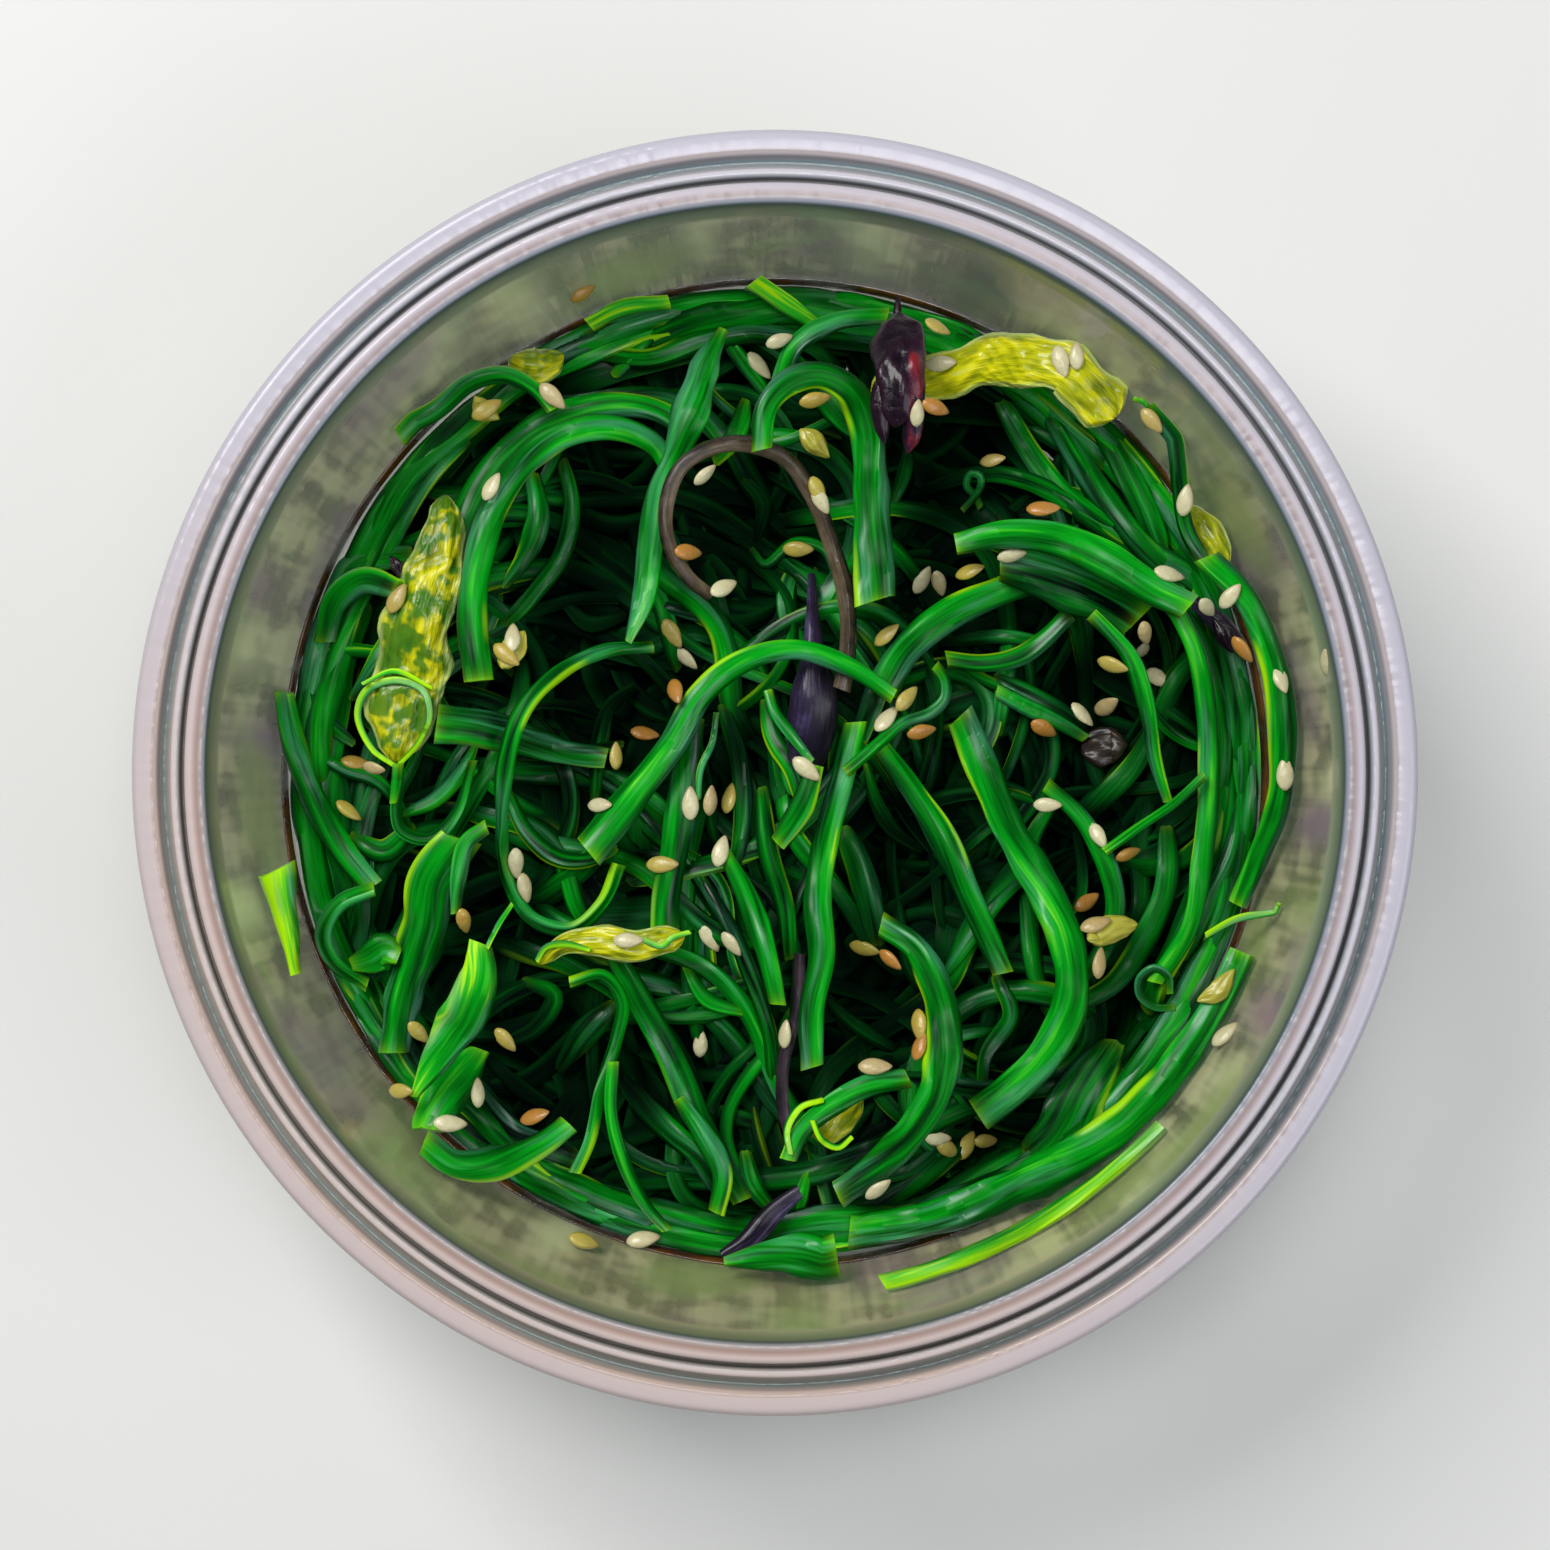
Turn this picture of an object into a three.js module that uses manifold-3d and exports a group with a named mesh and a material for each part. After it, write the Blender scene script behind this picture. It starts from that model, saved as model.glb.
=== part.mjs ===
// Wakame salad in a clear round tub: seaweed strips, wood ear, agar jelly, a dried chilli and sesame seeds.
// Millimetres, +Z up. The origin is the middle of the tub's underside, and +Y is the top of the picture.
import * as THREE from "three";
import { mergeVertices } from "three/addons/utils/BufferGeometryUtils.js";
import Module from "manifold-3d";

const wasm = await Module();
wasm.setup();

// Driving dimensions of the tub
const TUB_HEIGHT = 45;
const RIM_RADIUS = 58.5;
const WALL = 0.9;
const BASE_RADIUS = 41.5;
const MOUTH_RADIUS = 51;
const BASE_LEVEL = 2;
const MOUTH_LEVEL = 43;
const FLOOR_UNDERSIDE = 0.6;
const FLOOR_TOP = 1.6;
const FOOT_INNER = 37.5;
const FOOT_BEVEL = 0.6;
const FLOOR_BEVEL = 0.8;
const TUB_SIDES = 40;

// The rim, from its outer edge inwards: levels, and distances in from the edge
const FLANGE_BOTTOM = 39.8;
const FLANGE_THICKNESS = 1.1;
const FLANGE_TOP = 43.5;
const FLANGE_BEVEL = 0.5;
const SHELF_OUTER_LEVEL = 41.6;
const SHELF_INNER = 5.4;
const SHELF_INNER_LEVEL = 41.5;
const WALL_TOP = 40.4;
const GROOVE = { from: 2.3, floorFrom: 2.6, floorTo: 3.5, level: 42.6 };
const RIDGE = { from: 3.7, to: 4.5, footTo: 4.8, level: 44.3 };
const SEAT = { from: 5.1, to: 6.8 };
const MOUTH_BEVEL = { width: 0.3, height: 0.5 };

// Driving dimensions of the salad
const CORE_BOTTOM = 2;
const CORE_TOP = 23.2;
const CORE_INSET = 2;
const CORE_SIDES = 36;
const BED_CROWN = 1.3;
const WALL_CLEARANCE = 0.55;
const REST_GAP = 0.36;
const SHALLOW_SINK = 0.35;
const DEEP_SINK = 0.85;
const CLIMB = 0.6;
const BED_STEP = 5;
const STRIP_STEP = 2.9;
const TOP_EDGE = 0.68;
const THINNEST = 0.95;
const THICKEST = 1.5;
const THICKNESS_SHARE = 0.42;
const WIDEST_IN_BEND = 0.8;
const BED_REACH = 45.4;
const TOP_REACH = 47.6;
const WALL_REACH = 48.6;

// The picture: the tub's centre in pixels, and millimetres per pixel at the salad's surface
const PICTURE_CENTRE = [775, 773];
const PICTURE_SCALE = 0.0938;

// Sesame seeds
const SEED_LENGTH = 3.1;
const SEED_WIDTH = 1.9;
const SEED_THICKNESS = 1.1;
const SEED_POINTING = 0.25;
const SEED_EDGE_LEVEL = 0.1;
const SEED_SINK = 0.12;
const SEED_SIDES = 6;

// The chilli's second lobe: its first half width and thickness, what each step takes off, and each step's way
const LOBE_STEPS = 4;
const LOBE_HALF = 1.25;
const LOBE_THICKNESS = 1.9;
const LOBE_TAPER = [0.25, 0.35];
const LOBE_WAY = [-0.42, -1.25];

// Strips that fill the bed between the traced ones, and strips that lie against the wall below the surface
const FILL_STRIPS = 38;
const FILL_REACH = 43;
const FILL_TALL = 2.1;
const FILL_LENGTHS = [10, 17];
const FILL_STEPS = 2;
const WALL_STRIPS = 26;
const WALL_STRIP_DEPTH = 2.6;
const WALL_STRIP_TURNS = [0.35, 0.85];
const WALL_STRIP_STEPS = 4;

const SEED = 20261127;

const COLOURS = {
  tub: 0xdfe3df, dark: 0x0c3310, green: 0x2a8a22, lime: 0xa4cf2c,
  wood_ear: 0x4a4038, jelly: 0xb9b52a, chilli: 0x2f1016,
};

// Strips fused into the bed: name, widths at even stations in pixels, tone, route in pixels
const BED_STRIPS = [
  ["wall_left", [24, 30, 26], 0.35, [[455, 435], [410, 472], [375, 520], [352, 575], [335, 620]]],
  ["left_band", [28, 30, 28], 0.3, [[402, 550], [350, 562], [318, 600], [305, 650], [298, 710]]],
  ["left_inner", [16, 20, 14], 0.35, [[290, 660], [302, 695], [322, 722], [345, 742]]],
  ["top_wide", [28, 36, 30], 0.3, [[640, 335], [700, 312], [765, 302], [830, 292]]],
  ["top_right_wide", [24, 32, 26], 0.4, [[800, 292], [860, 290], [920, 303], [968, 328]]],
  ["top_under", [20, 26, 22], 0.15, [[600, 348], [650, 352], [700, 335], [750, 326], [800, 332]]],
  ["fan_left", [22, 26, 24], 0.25,
    [[1005, 395], [1030, 440], [1065, 488], [1120, 528], [1180, 562], [1222, 592]]],
  ["fan_middle", [22, 28, 24], 0.2, [[1050, 400], [1080, 450], [1112, 500], [1150, 545], [1190, 580]]],
  ["fan_right", [22, 28, 24], 0.25, [[1095, 405], [1122, 450], [1148, 500], [1170, 548]]],
  ["dark_arc_right", [16, 20, 18], 0.15, [[930, 482], [985, 468], [1035, 478], [1090, 508], [1150, 545]]],
  ["right_under_arc", [20, 24, 20], 0.2,
    [[1130, 560], [1185, 610], [1215, 670], [1228, 740], [1225, 810]]],
  ["right_mid_arc", [22, 26, 22], 0.3,
    [[1175, 830], [1172, 890], [1152, 940], [1122, 985], [1085, 1008]]],
  ["broad_leaf", [40, 60, 44], 0.2, [[1118, 1050], [1088, 1095], [1062, 1138], [1035, 1162]]],
  ["bottom_left_wall", [20, 26, 22], 0.35, [[455, 1160], [510, 1190], [570, 1222], [630, 1245]]],
  ["bottom_wall", [20, 26, 20], 0.3, [[560, 1205], [620, 1232], [690, 1262], [750, 1275], [800, 1272]]],
  ["bottom_right_under", [30, 38, 30], 0.25, [[860, 1255], [930, 1252], [1000, 1235], [1060, 1205]]],
  ["mid_left_dark", [14, 18, 14], 0.1, [[592, 800], [596, 745], [606, 705], [628, 685]]],
  ["inner_left_curve", [16, 20, 16], 0.25, [[558, 455], [568, 500], [558, 550], [530, 590], [500, 622]]],
  ["centre_dark_a", [18, 20, 16], 0.1, [[722, 705], [738, 760], [742, 820], [735, 870]]],
  ["centre_dark_b", [14, 18, 14], 0.05, [[700, 880], [730, 930], [755, 990], [770, 1040], [772, 1085]]],
  ["centre_dark_c", [18, 22, 18], 0.15, [[762, 790], [768, 850], [785, 910], [790, 960]]],
  ["right_centre_dark", [24, 30, 26], 0.25, [[845, 830], [862, 872], [873, 912], [880, 945]]],
  ["curl_shadow_strip", [14, 18, 12], 0.2, [[742, 470], [762, 498], [756, 532]]],
  ["lower_dark_diagonal", [22, 26, 22], 0.15, [[620, 1090], [660, 1130], [700, 1165], [722, 1202]]],
  ["lower_left_sheet", [20, 30, 22], 0.15, [[555, 1075], [580, 1040], [612, 1008]]],
  ["right_gap_strip", [14, 18, 14], 0.15, [[1000, 675], [1040, 695], [1075, 715], [1098, 738]]],
  ["upper_right_dark", [12, 16, 12], 0.2, [[945, 640], [1000, 634], [1055, 640]]],
  ["left_mid_sheet", [20, 26, 20], 0.3, [[345, 838], [378, 852], [405, 828]]],
  ["lower_left_fill", [14, 18, 14], 0.1, [[480, 1066], [512, 1096], [548, 1118]]],
  ["left_lower_curve", [12, 15, 12], 0.3, [[308, 752], [338, 770], [372, 782], [392, 805], [402, 832]]],
  ["horizontal_pair", [12, 16, 12], 0.1, [[528, 748], [575, 752], [618, 744]]],
  ["side_pair", [20, 25, 14], 0.35, [[528, 470], [535, 512], [520, 555], [500, 582]]],
  ["right_band_stub", [12, 15, 12], 0.3, [[914, 432], [906, 470], [893, 502]]],
  ["small_crescent", [10, 17, 12], 0.25, [[868, 765], [878, 802], [895, 830], [924, 852]]],
  ["cross_strip", [14, 16, 14], 0.25, [[826, 1003], [856, 1030], [900, 1058]]],
  ["wall_edge_left", [14, 18, 14], 0.75, [[340, 1008], [357, 1050], [382, 1090], [404, 1122]]],
  ["lower_left_inner", [16, 22, 16], 0.25, [[520, 985], [550, 1000], [530, 1035], [500, 1050]]],
  ["right_low_fill", [14, 20, 14], 0.25, [[1060, 800], [1035, 850], [1060, 900], [1062, 940]]],
  ["right_edge_inner", [16, 22, 16], 0.3, [[1250, 780], [1240, 850], [1215, 905], [1190, 960]]],
  ["centre_right_dark", [16, 20, 16], 0.15, [[1000, 980], [1015, 1020], [990, 1060], [985, 1090]]],
  ["upper_mid_green", [18, 22, 18], 0.4, [[745, 395], [735, 430], [715, 455]]],
  ["left_gap_green", [14, 18, 14], 0.25, [[560, 600], [585, 620], [620, 612]]],
  ["bottom_mid_green", [18, 24, 18], 0.35, [[745, 1160], [752, 1190], [770, 1215]]],
  ["left_bridge", [15, 17, 14], 0.45, [[283, 668], [305, 652], [340, 648], [385, 652]]],
  ["left_slash", [18, 17, 10], 0.45, [[398, 608], [375, 650], [345, 697]]],
  ["bright_bar_left", [14, 17, 12], 0.45, [[395, 815], [430, 800], [458, 770], [470, 745]]],
  ["second_c", [14, 19, 14], 0.3, [[502, 790], [522, 832], [552, 858], [582, 862], [612, 850]]],
  ["short_top", [16, 15, 12], 0.55, [[613, 368], [635, 345], [662, 312]]],
  ["tall_left_branch", [14, 19, 16], 0.45, [[722, 328], [742, 355], [768, 388]]],
  ["right_wire", [11, 12, 9], 0.3, [[1132, 650], [1152, 700], [1180, 733], [1215, 748], [1250, 738]]],
  ["lime_edge_arc", [9, 13, 10], 0.75, [[1083, 830], [1090, 870], [1085, 905], [1068, 922]]],
  ["centre_teal", [16, 21, 16], 0.3, [[765, 700], [772, 735], [792, 770], [800, 800]]],
  ["grey_slice", [12, 17, 14], 0.5, [[685, 970], [705, 1002], [742, 1016]]],
  ["bottom_nub", [14, 18, 12], 0.55, [[808, 1180], [800, 1205], [797, 1228]]],
  ["wave_thread", [10, 13, 10], 0.45, [[752, 545], [765, 560], [795, 538], [825, 545], [838, 575]]],
];

// Pieces of their own, in the order in which they lie, lowest first: name, kind, widths, tone, route
const TOP_PIECES = [
  ["jelly_bar", "jelly", [40, 46, 52], 1,
    [[872, 390], [928, 378], [982, 362], [1022, 361], [1065, 373], [1104, 386], [1134, 398]]],
  ["jelly_wall", "jelly", [22, 34, 22], 1, [[1180, 505], [1205, 535], [1226, 566]]],
  ["jelly_top", "jelly", [22, 34, 22], 1, [[508, 358], [535, 366], [562, 352]]],
  ["wood_ear_deep", "wood_ear", [12, 18, 24, 46, 54, 40], 0,
    [[812, 572], [813, 612], [814, 655], [815, 692], [812, 728], [806, 760]]],
  ["wood_ear_low", "wood_ear", [14, 24, 14], 0, [[800, 1195], [775, 1215], [748, 1243], [722, 1260]]],
  ["wood_ear_rim", "wood_ear", [14, 22, 14], 0, [[1198, 600], [1222, 620], [1248, 648]]],
  ["thread_loop", "strip", [10, 11, 9], 0.45,
    [[425, 722], [408, 765], [392, 800], [396, 830], [425, 840], [452, 815], [470, 760]]],
  ["left_long_band", "strip", [22, 27, 24], 0.5,
    [[285, 692], [292, 745], [310, 800], [338, 850], [368, 888]]],
  ["outer_arch", "strip", [22, 26, 28, 28, 22], 0.5,
    [[690, 434], [662, 410], [615, 401], [560, 410], [515, 438], [480, 478], [458, 525], [450, 560]]],
  ["jelly_roll", "jelly", [20, 40, 52, 60, 66, 70, 60, 24], 1,
    [[445, 494], [438, 552], [421, 612], [406, 680], [393, 762]]],
  ["hook_block", "strip", [42, 34, 20], 0.35,
    [[438, 724], [478, 728], [520, 738], [565, 752], [605, 758]]],
  ["vertical_mid", "strip", [30, 31, 28], 0.3,
    [[690, 715], [684, 780], [674, 850], [665, 900], [664, 935]]],
  ["big_c", "strip", [20, 20, 18], 0.35,
    [[652, 646], [605, 650], [560, 672], [525, 710], [508, 760], [502, 820], [506, 880], [530, 920],
     [570, 930], [600, 905], [618, 865]]],
  ["curl_left_top", "strip", [20, 20, 14], 0.55,
    [[393, 432], [435, 412], [470, 385], [505, 377], [535, 390], [555, 412]]],
  ["inner_arch", "strip", [18, 28, 30, 30, 32], 0.55,
    [[674, 478], [655, 445], [615, 430], [565, 438], [525, 465], [498, 505], [482, 550], [474, 610],
     [482, 682]]],
  ["top_left_lime", "strip", [16, 18, 14], 0.8, [[588, 322], [622, 305], [668, 298]]],
  ["top_lime_end", "strip", [20, 20, 14], 0.75, [[753, 280], [785, 300], [818, 322]]],
  ["top_arc", "strip", [18, 22, 16], 0.5, [[778, 385], [795, 345], [835, 320], [888, 312]]],
  ["tall_left", "strip", [10, 32, 38, 22, 24, 27, 24, 8], 0.55,
    [[723, 328], [706, 362], [694, 405], [678, 450], [660, 490], [650, 545], [644, 595], [628, 642]]],
  ["wood_ear_curl", "wood_ear", [14, 17, 18], 0,
    [[712, 598], [688, 578], [670, 545], [668, 508], [682, 472], [712, 452], [748, 447], [785, 460],
     [812, 495], [832, 545], [846, 595], [848, 645], [842, 690]]],
  ["hairpin", "strip", [20, 34, 42], 0.5,
    [[762, 455], [766, 415], [788, 388], [820, 380], [850, 395], [866, 430], [870, 480], [872, 540],
     [874, 602]]],
  ["chilli", "chilli", [18, 57, 20], 0, [[898, 300], [899, 345], [898, 400], [904, 455]]],
  ["right_leaf", "strip", [18, 20, 18], 0.35,
    [[948, 658], [985, 662], [1022, 655], [1050, 635], [1072, 612]]],
  ["right_arch", "strip", [32, 34, 26], 0.45,
    [[882, 690], [908, 648], [952, 612], [1000, 590], [1045, 574]]],
  ["paddle_under", "strip", [40, 56, 50], 0.35, [[1000, 562], [1050, 575], [1100, 598], [1138, 620]]],
  ["wall_teal", "strip", [16, 19, 14], 0.3,
    [[1150, 405], [1168, 440], [1176, 490], [1182, 530], [1200, 565]]],
  ["right_outer", "strip", [24, 30, 20], 0.5,
    [[1200, 560], [1242, 605], [1266, 665], [1276, 735], [1274, 800], [1258, 860], [1240, 905]]],
  ["right_inner_long", "strip", [18, 23, 18], 0.6,
    [[1170, 600], [1197, 655], [1210, 720], [1213, 790], [1207, 860], [1193, 930], [1160, 985]]],
  ["paddle", "strip", [22, 38, 30], 0.55,
    [[955, 545], [1005, 535], [1055, 540], [1105, 562], [1150, 590], [1186, 608]]],
  ["right_edge_blue", "strip", [14, 19, 10], 0.5,
    [[1090, 615], [1128, 655], [1148, 708], [1158, 758], [1172, 802]]],
  ["right_inner_arc", "strip", [16, 22, 18], 0.4,
    [[1048, 785], [1085, 820], [1110, 865], [1119, 910], [1105, 955], [1078, 985]]],
  ["thin_thread", "strip", [9, 10, 9], 0.6, [[1207, 775], [1175, 805], [1140, 828], [1106, 852]]],
  ["long_right_inner", "strip", [20, 30, 22], 0.4,
    [[880, 745], [915, 792], [945, 840], [970, 895], [990, 940], [1005, 975]]],
  ["long_right_outer", "strip", [32, 38, 36], 0.5,
    [[962, 715], [985, 770], [1015, 835], [1048, 895], [1070, 955], [1070, 1010], [1045, 1060],
     [1010, 1095], [980, 1118]]],
  ["wood_ear_thin", "wood_ear", [12, 14, 12], 0,
    [[800, 955], [798, 1010], [784, 1062], [783, 1110], [790, 1140]]],
  ["trunk", "strip", [22, 29, 24], 0.5,
    [[856, 722], [842, 780], [826, 840], [818, 900], [822, 955], [812, 1010], [812, 1068]]],
  ["centre_leaf", "strip", [18, 25, 18], 0.5, [[815, 765], [802, 805], [778, 843]]],
  ["centre_long_green", "strip", [14, 26, 16], 0.5, [[725, 855], [747, 898], [765, 948], [778, 1005]]],
  ["jelly_knot", "jelly", [26, 38, 26], 1, [[862, 1096], [838, 1118], [812, 1138]]],
  ["green_grey_arc", "strip", [20, 24, 18], 0.45,
    [[908, 1078], [868, 1084], [832, 1104], [802, 1130], [788, 1158]]],
  ["low_right_c", "strip", [24, 40, 28], 0.5,
    [[882, 925], [915, 948], [938, 995], [943, 1045], [933, 1090], [910, 1130], [878, 1165], [838, 1195]]],
  ["arch_right", "strip", [12, 13, 11], 0.45,
    [[845, 772], [880, 742], [905, 722], [930, 713], [945, 698], [945, 680], [935, 665]]],
  ["diagonal_long", "strip", [22, 30, 22], 0.35,
    [[612, 955], [640, 1005], [668, 1058], [692, 1112], [720, 1165], [742, 1205]]],
  ["jelly_sprig", "jelly", [12, 30, 26], 1, [[538, 965], [560, 946], [600, 942], [645, 945], [684, 936]]],
  ["diagonal_side", "strip", [14, 24, 18], 0.45, [[678, 1100], [702, 1135], [722, 1175], [716, 1215]]],
  ["left_column", "strip", [40, 52, 48, 40, 30], 0.4,
    [[462, 838], [434, 878], [424, 925], [405, 985], [390, 1055]]],
  ["left_column_top", "strip", [14, 18, 16, 10], 0.5, [[490, 826], [470, 842], [462, 875], [459, 912]]],
  ["ribbon_loop", "strip", [16, 21, 18], 0.55,
    [[372, 890], [337, 905], [320, 935], [330, 965], [362, 988]]],
  ["leaf_low", "strip", [18, 44, 46, 30], 0.55, [[478, 1052], [458, 1078], [440, 1105], [424, 1135]]],
  ["lime_spear", "strip", [22, 40, 50, 42, 26, 8], 0.8,
    [[485, 940], [484, 970], [470, 1006], [450, 1038], [433, 1066], [417, 1094]]],
  ["lower_hook", "strip", [26, 35, 22], 0.5,
    [[428, 1138], [458, 1160], [500, 1160], [540, 1145], [568, 1125]]],
  ["thin_arc_low", "strip", [12, 14, 12], 0.35,
    [[570, 982], [603, 975], [622, 1000], [616, 1040], [600, 1092], [590, 1140], [575, 1172]]],
  ["thin_vertical_low", "strip", [12, 15, 10], 0.45,
    [[614, 1060], [612, 1110], [624, 1160], [643, 1203], [666, 1232]]],
  ["wall_lime", "strip", [38, 28, 20, 10], 0.9, [[284, 868], [289, 905], [296, 938], [302, 972]]],
  ["sweep_bottom", "strip", [26, 44, 34], 0.55,
    [[1250, 955], [1215, 1015], [1168, 1075], [1110, 1130], [1050, 1170], [985, 1203], [920, 1225],
     [850, 1237]]],
  ["bottom_lime", "strip", [14, 20, 18], 0.85,
    [[1158, 1122], [1110, 1172], [1050, 1220], [985, 1256], [930, 1276], [884, 1289]]],
  ["bottom_block", "strip", [10, 30, 46, 56], 0.5, [[724, 1262], [760, 1257], [800, 1254], [838, 1262]]],
  ["swan_arch", "strip", [16, 26, 36], 0.55,
    [[893, 697], [850, 668], [795, 650], [740, 662], [700, 695], [672, 745], [632, 797], [588, 852]]],
];

// The pieces that lean on the wall above the rest
const LEANING = ["wall_lime", "bottom_lime", "right_outer", "top_left_lime"];

// Sesame seeds on the surface: pixel and direction in degrees
const SESAME = [
  [493, 490, 60], [553, 398, -45], [758, 358, -40], [778, 340, 20], [817, 490, -65], [688, 555, 0],
  [723, 590, 30], [797, 545, 0], [813, 405, 0], [935, 330, -10], [940, 362, 0], [1057, 365, -75],
  [1073, 362, 90], [915, 420, 90], [925, 577, 70], [943, 577, -70], [1010, 556, 10], [970, 570, 0],
  [1145, 425, -50], [995, 455, 0], [1040, 510, 0], [1203, 608, -45], [1165, 575, 0], [1145, 632, -60],
  [1155, 645, 40], [1165, 675, -30], [1110, 665, 0], [1047, 727, -40], [1088, 712, -40], [1115, 705, 40],
  [1048, 805, 0], [1100, 835, -60], [1235, 650, -60], [1272, 680, -75], [1278, 775, 90], [1130, 855, 0],
  [1095, 925, 20], [1100, 965, 80], [885, 720, 60], [920, 732, 0], [886, 635, 30], [805, 768, -40],
  [675, 690, -60], [683, 655, -50], [640, 732, 0], [615, 757, 90], [598, 805, -10], [690, 805, 90],
  [710, 802, 90], [728, 800, 90], [720, 853, 75], [660, 865, 0], [708, 938, -60], [627, 940, 0],
  [515, 862, -80], [467, 918, -70], [348, 762, 0], [397, 600, 60], [515, 640, 90], [415, 1033, -45],
  [403, 1088, 0], [477, 1095, 90], [450, 1122, 0], [353, 1135, 30], [699, 1050, 90], [865, 952, 0],
  [890, 960, -30], [918, 1022, -75], [873, 1065, 0], [940, 1145, 0], [970, 1155, 60], [990, 1150, 0],
  [877, 1190, 45], [1220, 1033, 40],
];

// Random numbers between 0 and 1, the same on every run
function seededRandom(seed) {
  let state = seed;
  return () => {
    state = (state + 0x6d2b79f5) | 0;
    let mixed = Math.imul(state ^ (state >>> 15), 1 | state);
    mixed = (mixed + Math.imul(mixed ^ (mixed >>> 7), 61 | mixed)) ^ mixed;
    return ((mixed ^ (mixed >>> 14)) >>> 0) / 4294967296;
  };
}
const random = seededRandom(SEED);
const between = (low, high) => low + (high - low) * random();

// Inner radius of the tub's wall at a level, and the level at which the wall has a radius
const wallSlope = (MOUTH_RADIUS - BASE_RADIUS) / (MOUTH_LEVEL - BASE_LEVEL);
const wallRadius = (level) => BASE_RADIUS + wallSlope * (level - BASE_LEVEL);
const wallLevel = (radius) => BASE_LEVEL + (radius - BASE_RADIUS) / wallSlope;

// A closed solid of revolution from radius and level pairs that start and end on the axis
function turned(profile, sides) {
  const geometry = new THREE.LatheGeometry(profile.map(([r, z]) => new THREE.Vector2(r, z)), sides);
  geometry.rotateX(Math.PI / 2);
  return geometry;
}

// The tub: foot ring, tapered wall, down-turned flange, lid groove, ridge and the flat seat round the mouth
function tubGeometry() {
  const outside = (level) => wallRadius(level) + WALL;
  const inward = (distance) => RIM_RADIUS - distance;
  const profile = [
    [0, FLOOR_UNDERSIDE], [FOOT_INNER, FLOOR_UNDERSIDE], [FOOT_INNER + FOOT_BEVEL, 0],
    [outside(0.8) - WALL, 0], [outside(1.4), 1.1], [outside(WALL_TOP), WALL_TOP],
    [inward(SHELF_INNER), SHELF_INNER_LEVEL], [inward(FLANGE_THICKNESS), SHELF_OUTER_LEVEL],
    [inward(FLANGE_THICKNESS), FLANGE_BOTTOM], [RIM_RADIUS, FLANGE_BOTTOM],
    [RIM_RADIUS, FLANGE_TOP - FLANGE_BEVEL], [inward(FLANGE_BEVEL), FLANGE_TOP],
    [inward(GROOVE.from), FLANGE_TOP], [inward(GROOVE.floorFrom), GROOVE.level],
    [inward(GROOVE.floorTo), GROOVE.level], [inward(RIDGE.from), RIDGE.level],
    [inward(RIDGE.to), RIDGE.level], [inward(RIDGE.footTo), FLANGE_TOP],
    [inward(SEAT.from), TUB_HEIGHT], [inward(SEAT.to), TUB_HEIGHT],
    [MOUTH_RADIUS + MOUTH_BEVEL.width, TUB_HEIGHT - MOUTH_BEVEL.height], [MOUTH_RADIUS, MOUTH_LEVEL],
    [BASE_RADIUS, BASE_LEVEL], [BASE_RADIUS - FLOOR_BEVEL, FLOOR_TOP], [0, FLOOR_TOP],
  ];
  return turned(profile, TUB_SIDES);
}

// Solids to and from the joining library
function toSolid(geometry) {
  const bare = geometry.clone();
  bare.deleteAttribute("normal");
  bare.deleteAttribute("uv");
  const merged = mergeVertices(bare, 1e-4);
  return new wasm.Manifold(new wasm.Mesh({
    numProp: 3,
    vertProperties: new Float32Array(merged.attributes.position.array),
    triVerts: new Uint32Array(merged.index.array),
  }));
}

function toGeometry(solid) {
  const mesh = solid.getMesh();
  const geometry = new THREE.BufferGeometry();
  geometry.setAttribute("position", new THREE.BufferAttribute(new Float32Array(mesh.vertProperties), 3));
  geometry.setIndex(new THREE.BufferAttribute(new Uint32Array(mesh.triVerts), 1));
  return geometry;
}

// Joins closed surfaces into one solid, without the scraps and sealed hollows that joining can leave
function fuse(geometries) {
  const whole = geometries.map(toSolid).reduce((sum, part) => sum.add(part));
  const shells = whole.decompose();
  return toGeometry(shells.reduce((largest, shell) => (shell.volume() > largest.volume() ? shell : largest)));
}

// The surface that pieces are laid on: the highest point and the piece it belongs to, on a square grid
const CELL = 1;
const HALF_GRID = 52;
const GRID = 2 * HALF_GRID + 1;
const surface = { level: new Float64Array(GRID * GRID), owner: new Int16Array(GRID * GRID).fill(-1) };
const crownLevel = (radius) => CORE_TOP + BED_CROWN * (1 - (radius / MOUTH_RADIUS) ** 2);
const bareBed = new Float64Array(GRID * GRID);
for (let row = 0; row < GRID; row++) {
  for (let column = 0; column < GRID; column++) {
    const radius = Math.hypot(column - HALF_GRID, row - HALF_GRID) * CELL;
    bareBed[row * GRID + column] = crownLevel(radius);
  }
}
surface.level.set(bareBed);

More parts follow.
